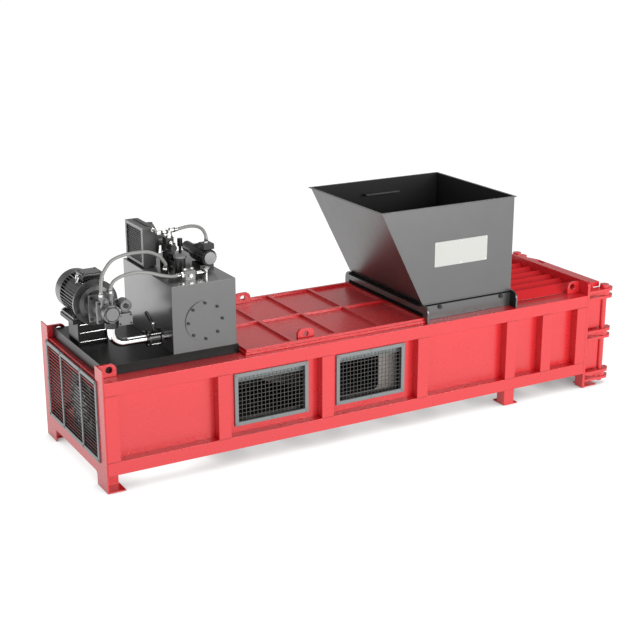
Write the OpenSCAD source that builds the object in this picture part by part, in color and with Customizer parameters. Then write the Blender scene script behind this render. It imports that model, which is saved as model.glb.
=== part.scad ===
// Horizontal recycling baler: a welded tube frame with a hydraulic ram, a feed hopper, a power pack
// on the rear deck and a swing door at the front end.
// Lengths are in millimetres. Stations along x start at the rear plate's outer face and run to the
// door, y runs from the near side with the window guards to the far side, z up from the floor.

/* [Frame] */
// Length over the two end plates
frame_l = 4315; // [4280:5:4400]
// Width over the side tubes
frame_w = 1300; // [1280:10:1360]
// Face width of the rectangular tube
tube = 100; // [90:2:110]
// Depth of the rectangular tube, across the machine
tube_d = 150; // [140:2:160]
// Wall of the rectangular tube
tube_wall = 6; // [4:1:10]
// Underside of the bottom rails above the floor
rail_z = 130; // [120:2:150]
// Top of the top rails above the floor
deck_z = 825; // [810:5:860]
// Share of the frame's length between the posts of the long bays
bay_share = 0.2062; // [0.2:0.0002:0.21]
// Depth of the side panels behind the tube faces
panel_recess = 75; // [60:5:90]
// Thickness of the side panels
panel_t = 8; // [5:1:12]
// Thickness of the liner plates beside the ram
liner_t = 12; // [8:1:14]
// Thickness of the chamber floor and roof plates
floor_t = 14; // [10:1:18]
// Height of the end plates above the top rails
end_rise = 98; // [90:2:110]

/* [Rear end] */
// Thickness of the rear end plate
rear_t = 10; // [8:1:16]
// Width of the rear plate's posts
rear_post_w = 145; // [130:5:150]
// Width of the rear plate's legs
rear_leg_w = 205; // [180:5:230]
// Height of the arch between the legs
arch_h = 100; // [80:5:120]
// Distance that the grille frame stands proud of the rear plate
grille_proud = 10; // [8:1:14]
// Height of the rear grille
grille_h = 612; // [580:4:620]
// Distance between two slats of the rear grille
slat_pitch = 27; // [24:1:32]

/* [Front end] */
// Thickness of the front end plate
front_t = 25; // [20:1:30]
// Height of the front end plate above the top rails
front_rise = 115; // [105:1:125]
// Distance of the hinge pins in front of the end plate
pin_x = 195; // [185:5:210]
// Distance of the hinge pins from the frame's side
pin_inset = 50; // [48:1:54]
// Diameter of the hinge pins
pin_d = 50; // [40:1:52]
// Thickness of each clevis plate
clevis_t = 22; // [16:1:26]
// Gap between the two plates of a clevis
clevis_gap = 40; // [36:1:44]
// Reach of the lock claws from their pin
claw_reach = 150; // [140:2:160]

/* [Door] */
// Depth of the door at the lock's end
door_end_d = 75; // [65:5:85]
// Depth of the door from the hinge across its middle
door_mid_d = 169; // [155:1:172]
// Thickness of the door's plates
door_t = 20; // [14:1:24]
// Underside of the door above the floor
door_z0 = 60; // [50:2:70]

/* [Feed hopper] */
// Length of the roof in front of the hopper base
roof_l = 750; // [730:5:770]
// Length of the hopper base
feed_l = 875; // [850:5:900]
// Height of the hopper base
feed_base_h = 135; // [120:5:150]
// Height of the hopper above its base
hopper_h = 775; // [700:5:850]
// Distance that the slanted wall leans to the rear
hopper_lean = 390; // [340:5:420]
// Wall of the hopper
hopper_t = 6; // [4:1:8]

/* [Deck cover] */
// Height of each of the cover's two steps
cover_step = 20; // [14:1:24]

/* [Ram and cylinder] */
// Bore of the main cylinder
bore_d = 200; // [180:2:210]
// Wall of the cylinder barrel
barrel_wall = 22; // [16:1:24]
// Diameter of the piston rod
rod_d = 110; // [90:2:120]
// Height of the cylinder axis above the floor
ram_axis_z = 470; // [460:2:480]
// Length of the ram box behind its face plate
ram_l = 780; // [740:5:790]
// Thickness of the ram's plates
ram_t = 20; // [14:1:22]

/* [Window guards] */
// Length of a guard as a share of the room between two posts
guard_share = 0.811; // [0.76:0.002:0.85]
// Height of a guard over its frame
guard_h = 408; // [380:2:420]
// Width of the guard's frame bars
guard_bar = 30; // [24:1:36]
// Pitch of the guard's mesh
mesh_pitch = 32; // [28:1:40]

/* [Power pack] */
// Station of the pack tray's rear edge
pack_x = 45; // [40:1:60]
// Length of the pack tray
pack_l = 1065; // [1060:1:1070]
// Height of the pack tray
pack_h = 70; // [60:2:80]
// Length of the oil tank along the machine
tank_l = 500; // [480:2:510]
// Height of the oil tank with its lid
tank_h = 502; // [490:2:520]
// Wall of the oil tank
tank_t = 6; // [4:1:8]
// Radius of the motor's mounting flange
flange_r = 168; // [162:1:174]
// Radius of the motor's finned body
motor_r = 155; // [150:1:160]
// Length of the motor from its flange to its fan cowl's end
motor_l = 425; // [410:5:440]
// Height of the motor axis above the tray
motor_axis_h = 338; // [332:1:350]
// Station of the motor axis
motor_x = 187; // [185:1:190]
// Outside diameter of the suction pipe
suction_d = 60; // [50:1:64]
// Outside diameter of the hoses
hose_d = 25; // [22:1:28]

/* [Hidden] */

// Roundness of circles, and the overrun of every cut
$fn = 64;
over = 5;
// Running clearance of pins and shafts, flat running gap, and gap between pieces that pass each other
run = 0.06;
slip = 0.3;
pass = 4;

// Colours
red = [0.80, 0.07, 0.09];
steel_grey = [0.50, 0.50, 0.51];
dark_grey = [0.22, 0.22, 0.23];
black = [0.06, 0.06, 0.06];
bright = [0.80, 0.80, 0.80];
hose_grey = [0.62, 0.62, 0.62];

// Frame stations and levels
half_w = frame_w / 2;
inner_y = half_w - tube_d;
chamber_y = inner_y - liner_t;
floor_z = rail_z + tube;
top_rail_z = deck_z - tube;
roof_z = deck_z - floor_t;
end_top_z = deck_z + end_rise;
front_top_z = deck_z + front_rise;
front_x = frame_l - front_t;
last_post_x = front_x - tube;
bay_pitch = round(bay_share * (last_post_x - rear_t));
bay_clear = bay_pitch - tube;
feed_x = frame_l - roof_l - feed_l;
foot_post_x = rear_t + 4 * bay_pitch;
post_x = [rear_t, rear_t + bay_pitch, rear_t + 2 * bay_pitch, rear_t + 3 * bay_pitch, foot_post_x,
    (foot_post_x + last_post_x) / 2, last_post_x];
// The part's origin is below the middle of its length, from the grille to the open claws
claw_tip_x = frame_l + pin_x + claw_reach;
x_mid = (claw_tip_x - grille_proud) / 2;

// Rear end: sill height, opening and grille
sill_h = 100;
leg_chamfer = 18;
plate_round = 14;
grille_rim = 30;
grille_lap = 29;
grille_bar = 24;
grille_z = arch_h + sill_h - 4;
grille_y = half_w - rear_post_w + grille_lap;
grille_bar_y = 207;
slat_d = rear_t - 1;
slat_t = 5;
slat_y = half_w - rear_post_w - 2;

// Front end: clevis levels above the floor
clevis_z = [92, 460, 813];
clevis_inner = half_w - 86;
clevis_nose = 88;
clevis_chamfer = 45;
pin_y = half_w - pin_inset;
pin_front_x = frame_l + pin_x;
pin_low_z = 25;
pin_head_d = 76;
pin_head_h = 30;
front_leg_w = 150;
front_foot_w = 100;
front_round = 40;

// Door: gap to the end plate, ends and levels
door_gap = 1;
door_x = frame_l + door_gap;
door_near_set = 90;
door_far_set = 125;
door_near_y = -half_w + door_near_set;
door_far_y = half_w - door_far_set;
door_rise = 75;
door_top_z = deck_z + door_rise;
door_taper = 265;
door_rib_count = 4;
door_level_count = 4;
door_ear_r = 46;
door_ear_play = 2;
door_ear_l = 60;
door_notch_r = norm([clevis_nose, pin_y - clevis_inner]) + pass;
door_slot_l = 95;
door_slot_w = 34;
door_slot_x = 122;
door_slot_y = 137;

// Lock claws
claw_hub_r = 40;
claw_t = 30;
claw_arm_w = 50;
claw_nose = 46;
claw_nose_w = 40;
claw_play = 3;
claw_handle_d = 28;
claw_pad_gap = 2;

// Feet and lugs
foot_t = 10;
foot_l = 138;
foot_w = 150;
foot_web_t = 15;
lug_t = 25;
pack_clear = 140;
pack_w = frame_w - 2 * pack_clear;
lug_y = pack_w / 2 + 2;
lug_round = 42;
lug_bore_d = 50;
lug_l = 150;
front_lug_l = 125;
front_lug_h = 100;
cover_x = pack_x + pack_l + 10;
cover_lug_l = 140;
cover_lug_in = 535;
cover_lug_x = cover_x + cover_lug_in;
cover_lug_set = 132;
cover_lug_y = half_w - cover_lug_set;
cover_lug_h = 88;
cover_lug_bore_d = 42;

// Roof ribs of angle bar
rib_count = 7;
rib_pitch = 2 * chamber_y / rib_count;
rib_w = rib_pitch - pass;
rib_h = 65;
rib_foot = 12;

// Deck cover
cover_w = frame_w - 96;
cover_inset = 12;
cover_rib_w = 30;
cover_sheet_t = 6;
cover_edge = 40;
cover_columns = 4;

// Window guards
guard_t = 15;
guard_gap_share = 0.417;
guard_l = round(guard_share * bay_clear);
guard_gap = round(guard_gap_share * (bay_clear - guard_l));
guard_z = floor_z + 53;
mesh_wire = 4;
mesh_lap = 10;
window_round = 6;
window_x = [post_x[1] + tube + guard_gap, post_x[2] + tube + guard_gap];

// Cylinder and ram
barrel_r = bore_d / 2 + barrel_wall;
cap_x = 48;
cap_t = 22;
cap_r = barrel_r + 38;
cap_spigot = 40;
cap_bolt_count = 16;
cap_bolt_d = 30;
cap_bolt_h = 14;
mount_t = 40;
mount_w = 400;
mount_play = 0.5;
barrel_x0 = cap_x + cap_t;
gland_t = 40;
gland_r = barrel_r + 12;
gland_spigot = 60;
piston_t = 100;
piston_gap = 10;
piston_x = barrel_x0 + cap_spigot + piston_gap;
piston_play = 0.4;
rod_pin_d = 80;
eye_r = 78;
eye_w = 120;
eye_shank_w = 110;
fork_t = 30;
fork_gap = 5;
fork_r = 88;
pin_cap_r = 46;
pin_cap_t = 12;
ram_knife_t = 12;
ram_knife_h = 50;
ram_face_t = 30;
ram_face_x = feed_x - ram_face_t;
ram_x = ram_face_x - ram_l;
fork_l = 302;
rod_out = 30;
rod_pin_x = ram_x - fork_l;
rod_end_x = rod_pin_x - eye_r;
barrel_l = rod_end_x - rod_out - gland_t - barrel_x0;
shoe_t = 14;
shoe_w = 120;
guide_t = 12;
guide_h = 40;
guide_rise = 432;
guide_z = floor_z + guide_rise;
ram_y = chamber_y - guide_t - pass;
ram_z0 = floor_z + slip + shoe_t;
ram_z1 = guide_z - pass;
ram_top_z = roof_z - 16;
ram_lid_t = 12;
ram_lid_tail = 330;
ram_web_y = 205;
ram_window_round = 40;
ram_window_rim = 60;
ram_window_top = 48;
ram_window_back = 320;
ram_post_w = 110;
knife_w = 40;
knife_h = 10;

// Hopper
base_t = 15;
base_ear_w = frame_w - 40;
hopper_clear = 104;
hopper_w = frame_w - 2 * hopper_clear;
base_ear_round = 60;
base_side_t = 12;
hopper_z = deck_z + feed_base_h;
hopper_x0 = feed_x + base_t - hopper_t - 4;
hopper_x1 = feed_x + feed_l - base_t + hopper_t - 1;
rim_w = 14;
rim_t = 6;
ledge_l = 330;
ledge_h = 12;
ledge_d = 60;
ledge_drop = 105;
ledge_shift = 40;
hopper_bolt_d = 36;
hopper_bolt_h = 14;
hopper_bolt_inset = 155;
hopper_bolt_drop = 40;

// Power pack
pack_z = deck_z;
tray_z = deck_z + pack_h;
tray_y0 = -pack_w / 2;
tray_plate_t = 8;
tray_wall = 8;
tray_lip_h = 18;
tank_clear = 108;
tank_end = 15;
tank_w = pack_w - tank_clear;
tank_x1 = pack_x + pack_l - tank_end;
tank_x0 = tank_x1 - tank_l;
tank_y0 = tray_y0;
tank_y1 = tank_y0 + tank_w;
lid_t = 8;
tank_top_z = tray_z + tank_h;
lid_z = tank_top_z - lid_t;
cleanout_r = 152;
cleanout_t = 8;
cleanout_bore_r = 116;
cleanout_bolt_r = 134;
cleanout_bolt_d = 24;
cleanout_bolt_h = 9;
cleanout_rise = 219;
cleanout_z = tray_z + cleanout_rise;
cleanout_x = (tank_x0 + tank_x1) / 2;

// Electric motor
motor_z = tray_z + motor_axis_h;
motor_y = -80;
flange_t = 20;
shaft_r = 21;
fin_count = 40;
fin_t = 5;
fin_h = 16;
cowl_l = 100;
cowl_t = 3;
cowl_slots = 12;
cowl_slot_w = 14;
motor_foot_h = 20;
motor_foot_w = 320;
motor_foot_l = 260;
motor_foot_y = 15;
motor_drop_share = 0.78;
motor_foot_drop = motor_drop_share * motor_r;
motor_foot_in = sqrt(motor_r * motor_r - motor_foot_drop * motor_foot_drop) + 2 * pass;
pad_t = 30;
pad_over = 8;
stand_web_t = 14;
stand_web_inset = 55;
stand_web_in = 55;
terminal_l = 140;
terminal_w = 153;
terminal_h = 30;
terminal_y = 60;
terminal_lean = 18;
fan_r = motor_r - 20;
fan_t = 45;
fan_hub_r = 45;
fan_blades = 7;
fan_blade_t = 5;
eye_bolt_x = 75;
eye_bolt_r = 22;
eye_bolt_d = 12;

// Bell housing and pump, stacked from the motor flange towards the near side
bell_r = 98;
bell_t = 12;
bell_l = 118;
bell_flange_r = 128;
bell_flange_t = 16;
plate_w = 196;
plate_t = 14;
pump_r = 72;
pump_l = 92;
port_w = 160;
port_t = 24;
pump_end_r = 64;
pump_end_l = 78;
pump_cap_r = 52;
pump_cap_t = 10;
coupling_r = 48;
coupling_l = 70;
stub_r = 15;
stub_l = 66;
port_boss_r = 20;
control_w = 90;
control_d = 92;
control_h = 96;
control_lobe_r = 44;
control_lobe_l = 76;

// Suction line
suction_collar_r = 46;
suction_y = motor_y - bell_l - plate_t - pump_l - port_t - suction_collar_r - pass / 2;
suction_wall = 4;
suction_bend = 84;
suction_drop = 228;
suction_collar_h = 40;
valve_l = 92;
valve_r = 46;
valve_flange_t = 14;
suction_stub = 40;
valve_x0 = tank_x0 - motor_x - suction_stub - valve_l - valve_flange_t;
valve_flange_r = 62;
stem_r = 12;
stem_h = 56;
lever_l = 140;
lever_w = 22;
lever_t = 6;
lever_hub_r = 20;
lever_hub_h = 16;

// Fittings on the tank lid
filter_r = 40;
filter_h = 118;
filter_cap_r = 49;
filter_cap_h = 15;
filter_x = 208;
filter_y = -195;
breather_x = 318;
breather_y = 50;
breather_neck_r = 11;
breather_neck_h = 133;
breather_r = 20;
breather_h = 58;
stack_x = 190;
stack_y = -33;
stack_w = 84;
stack_heights = [60, 74, 58, 46];
stack_width_shares = [1.2, 0.82, 0.96, 0.74];
coil_r = 24;
coil_l = 62;
block_w = 76;
block_d = 64;
block_h = 66;
fitting_r = 18;
fitting_hex_r = 22;
fitting_hex_l = 20;
line_pipe_r = 14;
line_pipe_l = 96;

// Circulation pump
circ_x = 433;
circ_y = -220;
circ_axis_h = 88;
circ_r = 62;
circ_l = 240;
circ_fin_count = 24;
circ_fin_h = 7;
circ_fin_t = 4;
circ_cap_r = 46;
circ_cap_t = 10;
circ_neck_r = 40;
circ_neck_l = 170;
circ_box_w = 84;
circ_box_l = 96;
circ_foot_w = 110;
circ_foot_l = 150;

// Oil cooler
cooler_x = 28;
cooler_y = 56;
cooler_w = 334;
cooler_h = 288;
cooler_z = 12;
cooler_core_d = 46;
cooler_rim = 24;
cooler_fin_pitch = 15;
cooler_fin_t = 4;
cooler_tube_d = 8;
cooler_box_d = 52;
cooler_ring_t = 4;
cooler_ring_r = cooler_h / 2 - cooler_ring_t;
cooler_ring_d = 40;
cooler_fan_play = 5;
cooler_hub_r = 38;
cooler_blades = 6;
cooler_blade_w = 26;
cooler_blade_t = 4;
cooler_pitch_deg = 28;
cooler_motor_r = 46;
cooler_motor_l = 92;
cooler_spoke_w = 16;
cooler_spoke_t = 8;
cooler_shaft_r = 9;

// Hose routes, as stations along x, y from the middle plane and z from the floor
pressure_route = [[145, -320, 1345], [145, -320, 1372], [145, -320, 1400], [152, -316, 1460],
    [176, -310, 1520], [240, -296, 1585],
    [330, -276, 1608], [440, -250, 1608], [545, -226, 1594], [630, -206, 1552], [678, -190, 1500],
    [695, -182, 1470], [695, -182, 1452], [695, -182, 1435]];
control_route = [[215, -330, 1365], [215, -330, 1382], [215, -330, 1400], [228, -330, 1436],
    [262, -332, 1462], [322, -335, 1482],
    [410, -338, 1490], [506, -345, 1473], [578, -352, 1449], [650, -364, 1432], [695, -366, 1430],
    [715, -366, 1430], [735, -366, 1430]];
cooler_route = [[815, -60, 1690], [835, -60, 1690], [860, -60, 1691], [925, -76, 1704],
    [980, -104, 1704], [1012, -136, 1686],
    [1026, -160, 1650], [1028, -168, 1620], [1028, -168, 1604], [1028, -168, 1588]];
hose_sides = 10;
hose_steps = 2;

// Box between two stations, two sides and two levels
module block(x0, x1, y0, y1, z0, z1) {
    translate([x0, y0, z0])
        cube([x1 - x0, y1 - y0, z1 - z0]);
}

// Place along the machine, measured from the rear plate
module machine() {
    translate([-x_mid, 0, 0])
        children();
}

// A shape on the near side and its mirror image on the far side
module both_sides() {
    children();
    mirror([0, 1, 0])
        children();
}

// Round bar along y, with its near end at y
module bar_y(x, y, z, r, l, fn = $fn) {
    translate([x, y, z])
        rotate([-90, 0, 0])
            cylinder(r = r, h = l, $fn = fn);
}

// Round bar along x
module bar_x(x, y, z, r, l, fn = $fn) {
    translate([x, y, z])
        rotate([0, 90, 0])
            cylinder(r = r, h = l, $fn = fn);
}

// Outline in x and z, drawn out along y from y0 to y1
module wall_y(y0, y1) {
    translate([0, y1, 0])
        rotate([90, 0, 0])
            linear_extrude(y1 - y0)
                children();
}

// Outline in y and z, drawn out along x from x0 to x1
module wall_x(x0, x1) {
    translate([x0, 0, 0])
        rotate([90, 0, 90])
            linear_extrude(x1 - x0)
                children();
}

// Rectangle with rounded corners
module round_rect(x0, x1, y0, y1, r) {
    translate([x0 + r, y0])
        square([x1 - x0 - 2 * r, y1 - y0]);
    translate([x0, y0 + r])
        square([x1 - x0, y1 - y0 - 2 * r]);
    for (x = [x0 + r, x1 - r], y = [y0 + r, y1 - r])
        translate([x, y])
            circle(r);
}

// Rectangular tube along x on the near side
module rail(z) {
    difference() {
        block(rear_t, front_x, -half_w, -inner_y, z, z + tube);
        block(rear_t - over, front_x + over, -half_w + tube_wall, -inner_y - tube_wall,
            z + tube_wall, z + tube - tube_wall);
    }
}

// Upright tube between the rails on the near side
module post(x) {
    difference() {
        block(x, x + tube, -half_w, -inner_y, floor_z, top_rail_z);
        block(x + tube_wall, x + tube - tube_wall, -half_w + tube_wall, -inner_y - tube_wall,
            floor_z - over, top_rail_z + over);
    }
}

// Lifting plate that stands on a level, with a round top corner and a bore
module lug(x0, l, y, z0, z1, bore_d, face) {
    r = lug_round;
    cx = face > 0 ? x0 + l - r - (l - 2 * r) / 4 : x0 + l * 2 / 5;
    difference() {
        wall_y(y, y + lug_t)
            union() {
                translate([x0, z0])
                    square([l, z1 - z0 - r]);
                translate([face > 0 ? x0 : x0 + r, z0])
                    square([l - r, z1 - z0]);
                translate([face > 0 ? x0 + l - r : x0 + r, z1 - r])
                    circle(r);
            }
        bar_y(cx, y - over, z1 - r, bore_d / 2, lug_t + 2 * over);
    }
}

module rear_end_plate() {
    color(red) machine() {
        both_sides()
            wall_x(0, rear_t)
                union() {
                    polygon([[-half_w, 0], [-half_w + rear_leg_w, 0], [-half_w + rear_leg_w, arch_h - leg_chamfer],
                        [-half_w + rear_leg_w + leg_chamfer, arch_h], [-half_w, arch_h]]);
                    translate([-half_w, arch_h])
                        square([rear_post_w, end_top_z - arch_h - plate_round]);
                    translate([-half_w, end_top_z - plate_round])
                        square([rear_post_w - plate_round, plate_round]);
                    translate([-half_w + rear_post_w - plate_round, end_top_z - plate_round])
                        circle(plate_round);
                }
        block(0, rear_t, -half_w + rear_post_w, half_w - rear_post_w, arch_h, arch_h + sill_h);
    }
}

module rear_grille_frame() {
    z0 = grille_z;
    z1 = grille_z + grille_h;
    color(steel_grey) machine() {
        block(-grille_proud, 0, -grille_y, -grille_y + grille_rim, z0, z1);
        block(-grille_proud, 0, grille_y - grille_rim, grille_y, z0, z1);
        block(-grille_proud, 0, -grille_y + grille_rim, grille_y - grille_rim, z0, z0 + grille_rim);
        block(-grille_proud, 0, -grille_y + grille_rim, grille_y - grille_rim, z1 - grille_rim, z1);
        for (y = [-grille_bar_y, grille_bar_y])
            block(-grille_proud, 0, y - grille_bar / 2, y + grille_bar / 2, z0 + grille_rim, z1 - grille_rim);
    }
}

module rear_grille_slats() {
    z0 = grille_z + grille_rim / 2;
    count = floor((grille_h - grille_rim) / slat_pitch);
    color(dark_grey) machine()
        for (k = [0 : count - 1])
            block(0, slat_d, -slat_y, slat_y, z0 + k * slat_pitch, z0 + k * slat_pitch + slat_t);
}

module side_rails() {
    color(red) machine()
        both_sides() {
            rail(rail_z);
            rail(top_rail_z);
        }
}

module side_posts() {
    color(red) machine()
        both_sides()
            for (x = post_x)
                post(x);
}

// Tube across the frame between two stations and two levels
module cross_tube(x0, x1, z0, z1) {
    difference() {
        block(x0, x1, -inner_y, inner_y, z0, z1);
        block(x0 + tube_wall, x1 - tube_wall, -inner_y - over, inner_y + over, z0 + tube_wall, z1 - tube_wall);
    }
}

// Tubes across the frame: under the floor at each post, and above and below the rear compartment
module cross_rails() {
    color(red) machine() {
        for (k = [1 : len(post_x) - 1])
            cross_tube(post_x[k], post_x[k] + tube, rail_z, floor_z - floor_t);
        cross_tube(post_x[0], post_x[0] + tube, rail_z, floor_z);
        cross_tube(post_x[0], post_x[0] + tube, top_rail_z, deck_z);
        cross_tube(post_x[1], post_x[1] + tube, top_rail_z, deck_z);
    }
}

// One recessed panel between two posts
module bay_panel(k) {
    block(post_x[k] + tube, post_x[k + 1], -half_w + panel_recess, -half_w + panel_recess + panel_t,
        floor_z, top_rail_z);
}

// Hole behind a window guard, through a plate between two y values
module window_cut(x, y0, y1) {
    wall_y(y0 - over, y1 + over)
        round_rect(x + guard_bar - mesh_lap, x + guard_l - guard_bar + mesh_lap,
            guard_z + guard_bar - mesh_lap, guard_z + guard_h - guard_bar + mesh_lap, window_round);
}

module near_side_panels() {
    y0 = -half_w + panel_recess;
    color(red) machine() {
        for (k = [0, 3, 4, 5])
            bay_panel(k);
        for (k = [1, 2])
            difference() {
                bay_panel(k);
                window_cut(window_x[k - 1], y0, y0 + panel_t);
            }
    }
}

module far_side_panels() {
    color(red) machine()
        mirror([0, 1, 0])
            for (k = [0 : len(post_x) - 2])
                bay_panel(k);
}

module side_liners() {
    x0 = post_x[1] + tube;
    color(dark_grey) machine() {
        difference() {
            block(x0, front_x, -inner_y, -chamber_y, floor_z, deck_z);
            for (x = window_x)
                window_cut(x, -inner_y, -chamber_y);
        }
        block(x0, front_x, chamber_y, inner_y, floor_z, deck_z);
    }
}

module chamber_floor() {
    color(dark_grey) machine()
        block(post_x[1], front_x, -inner_y, inner_y, floor_z - floor_t, floor_z);
}

module roof_plate() {
    color(red) machine()
        block(feed_x + feed_l - base_t, front_x, -chamber_y, chamber_y, roof_z, deck_z);
}

// Angle bars laid edge down side by side, from the hopper base to the end plate
module roof_beams() {
    inner_w = rib_w / 2 - rib_foot;
    inner_h = rib_h * inner_w / (rib_w / 2);
    color(red) machine()
        for (k = [0 : rib_count - 1])
            translate([0, (k - (rib_count - 1) / 2) * rib_pitch, deck_z])
                wall_x(feed_x + feed_l, front_x)
                    polygon([[-rib_w / 2, 0], [-inner_w, 0], [0, inner_h], [inner_w, 0], [rib_w / 2, 0],
                        [0, rib_h]]);
}

// Four plates round the bale opening; the outer two run down to the floor as legs
module front_end_plate() {
    color(red) machine() {
        both_sides()
            wall_x(front_x, frame_l)
                union() {
                    translate([-half_w, 0])
                        square([front_foot_w, rail_z]);
                    translate([-half_w, rail_z])
                        square([front_leg_w, front_top_z - front_round - rail_z]);
                    translate([-half_w + front_round, front_top_z - front_round])
                        square([front_leg_w - front_round, front_round]);
                    translate([-half_w + front_round, front_top_z - front_round])
                        circle(front_round);
                }
        block(front_x, frame_l, -half_w + front_leg_w, half_w - front_leg_w, rail_z, floor_z);
        block(front_x, frame_l, -half_w + front_leg_w, half_w - front_leg_w, roof_z, front_top_z);
    }
}

// Plan of one clevis plate on the near side
module clevis_plan() {
    polygon([[frame_l, -half_w], [pin_front_x + clevis_nose - clevis_chamfer, -half_w],
        [pin_front_x + clevis_nose, -half_w + clevis_chamfer], [pin_front_x + clevis_nose, -clevis_inner],
        [frame_l, -clevis_inner]]);
}

module door_clevises() {
    color(red) machine()
        both_sides()
            for (z = clevis_z, s = [-1, 1])
                difference() {
                    translate([0, 0, s > 0 ? z + clevis_gap / 2 : z - clevis_gap / 2 - clevis_t])
                        linear_extrude(clevis_t)
                            clevis_plan();
                    translate([pin_front_x, -pin_y, z - clevis_gap - clevis_t])
                        cylinder(d = pin_d + 2 * run, h = 2 * (clevis_gap + clevis_t));
                }
}

module base_feet() {
    color(red) machine()
        both_sides() {
            block(rear_t, foot_l, -half_w, -half_w + foot_w, 0, foot_t);
            block(rear_t, foot_l - foot_t, -inner_y - 2 * foot_web_t, -inner_y - foot_web_t, foot_t, rail_z);
            block(foot_post_x, foot_post_x + foot_l, -half_w, -half_w + foot_w, 0, foot_t);
            block(foot_post_x, foot_post_x + tube, -half_w, -half_w + tube, foot_t, rail_z);
            block(frame_l, frame_l + foot_l, -half_w + foot_t, -half_w + foot_w, 0, foot_t);
        }
}

module end_lugs() {
    color(red) machine()
        both_sides() {
            lug(rear_t, lug_l - rear_t, -lug_y - lug_t, deck_z, end_top_z - foot_t / 2, lug_bore_d, 1);
            lug(front_x - front_lug_l, front_lug_l, -lug_y - lug_t, deck_z, deck_z + front_lug_h, lug_bore_d, -1);
        }
}

module cover_lugs() {
    z0 = deck_z + cover_step;
    z1 = z0 + cover_lug_h;
    r = lug_round;
    color(red) machine()
        both_sides()
            difference() {
                wall_y(-cover_lug_y - lug_t, -cover_lug_y)
                    union() {
                        translate([cover_lug_x - cover_lug_l / 2, z0])
                            square([cover_lug_l, z1 - z0 - r]);
                        translate([cover_lug_x - cover_lug_l / 2 + r, z0])
                            square([cover_lug_l - 2 * r, z1 - z0]);
                        for (s = [-1, 1])
                            translate([cover_lug_x + s * (cover_lug_l / 2 - r), z1 - r])
                                circle(r);
                    }
                bar_y(cover_lug_x, -cover_lug_y - lug_t - over, z1 - r, cover_lug_bore_d / 2, lug_t + 2 * over);
            }
}

// Stepped tray cover: a sheet with a turned-down edge, and a grid of ribs on it
module deck_cover() {
    x1 = feed_x;
    y0 = -cover_w / 2;
    z0 = deck_z;
    z1 = deck_z + cover_step;
    z2 = z1 + cover_step;
    xa = cover_x + cover_inset;
    ya = y0 + cover_inset;
    color(red) machine() {
        difference() {
            block(cover_x, x1, y0, -y0, z0, z1);
            block(cover_x + cover_edge, x1 - cover_edge, -inner_y, inner_y, z0 - over, z1 - cover_sheet_t);
        }
        for (s = [-1, 1])
            block(xa, x1, s > 0 ? -ya - cover_rib_w : ya, s > 0 ? -ya : ya + cover_rib_w, z1, z2);
        for (k = [0 : cover_columns])
            let (x = xa + k * (x1 - cover_rib_w - xa) / cover_columns)
                block(x, x + cover_rib_w, ya + cover_rib_w, -ya - cover_rib_w, z1, z2);
        for (k = [0 : cover_columns - 1])
            let (x = xa + k * (x1 - cover_rib_w - xa) / cover_columns,
                 l = (x1 - cover_rib_w - xa) / cover_columns)
                block(x + cover_rib_w, x + l, -cover_rib_w / 2, cover_rib_w / 2, z1, z2);
    }
}

module guard_frames() {
    y1 = -half_w + panel_recess;
    color(steel_grey) machine()
        for (x = window_x)
            difference() {
                block(x, x + guard_l, y1 - guard_t, y1, guard_z, guard_z + guard_h);
                block(x + guard_bar, x + guard_l - guard_bar, y1 - guard_t - over, y1 + over,
                    guard_z + guard_bar, guard_z + guard_h - guard_bar);
            }
}

// Two layers of wires across each window, behind the guard's frame
module guard_meshes() {
    y0 = -half_w + panel_recess;
    gap = guard_bar - mesh_lap + 2 * slip;
    nx = floor((guard_l - 2 * gap - mesh_wire) / mesh_pitch);
    nz = floor((guard_h - 2 * gap - mesh_wire) / mesh_pitch);
    color(dark_grey) machine()
        for (x = window_x) {
            for (k = [0 : nz])
                let (z = guard_z + guard_h / 2 + (k - nz / 2) * mesh_pitch)
                    block(x + gap, x + guard_l - gap, y0, y0 + mesh_wire, z - mesh_wire / 2, z + mesh_wire / 2);
            for (k = [0 : nx])
                let (xa = x + guard_l / 2 + (k - nx / 2) * mesh_pitch)
                    block(xa - mesh_wire / 2, xa + mesh_wire / 2, y0 + mesh_wire, y0 + 2 * mesh_wire,
                        guard_z + gap, guard_z + guard_h - gap);
        }
}

// Hold-down bars that the ram runs under, on both liners
module ram_guides() {
    color(steel_grey) machine()
        both_sides()
            block(post_x[1] + tube, ram_face_x - pass, -chamber_y, -chamber_y + guide_t, guide_z, guide_z + guide_h);
}

module fixed_knife() {
    color(bright) machine()
        block(feed_x + feed_l - base_t, feed_x + feed_l - base_t + knife_w, -chamber_y + pass, chamber_y - pass,
            roof_z - knife_h, roof_z);
}

module cylinder_mount() {
    color(dark_grey) machine()
        difference() {
            block(barrel_x0, barrel_x0 + mount_t, -mount_w / 2, mount_w / 2, floor_z, top_rail_z);
            bar_x(barrel_x0 - over, 0, ram_axis_z, barrel_r + mount_play, mount_t + 2 * over);
        }
}

module cylinder_barrel() {
    color(dark_grey) machine()
        difference() {
            bar_x(barrel_x0, 0, ram_axis_z, barrel_r, barrel_l);
            bar_x(barrel_x0 - over, 0, ram_axis_z, bore_d / 2, barrel_l + 2 * over);
        }
}

// Rear cap with its bolt flange and the spigot that closes the bore
module cylinder_cap() {
    color(steel_grey) machine() {
        bar_x(cap_x, 0, ram_axis_z, cap_r, cap_t);
        bar_x(cap_x + cap_t, 0, ram_axis_z, bore_d / 2 - slip, cap_spigot);
    }
}

module cap_bolts() {
    color(dark_grey) machine()
        translate([cap_x - cap_bolt_h, 0, ram_axis_z])
            for (k = [0 : cap_bolt_count - 1])
                rotate([k * 360 / cap_bolt_count, 0, 0])
                    bar_x(0, cap_r - cap_bolt_d * 2 / 3, 0, cap_bolt_d / 2, cap_bolt_h, 6);
}

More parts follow.
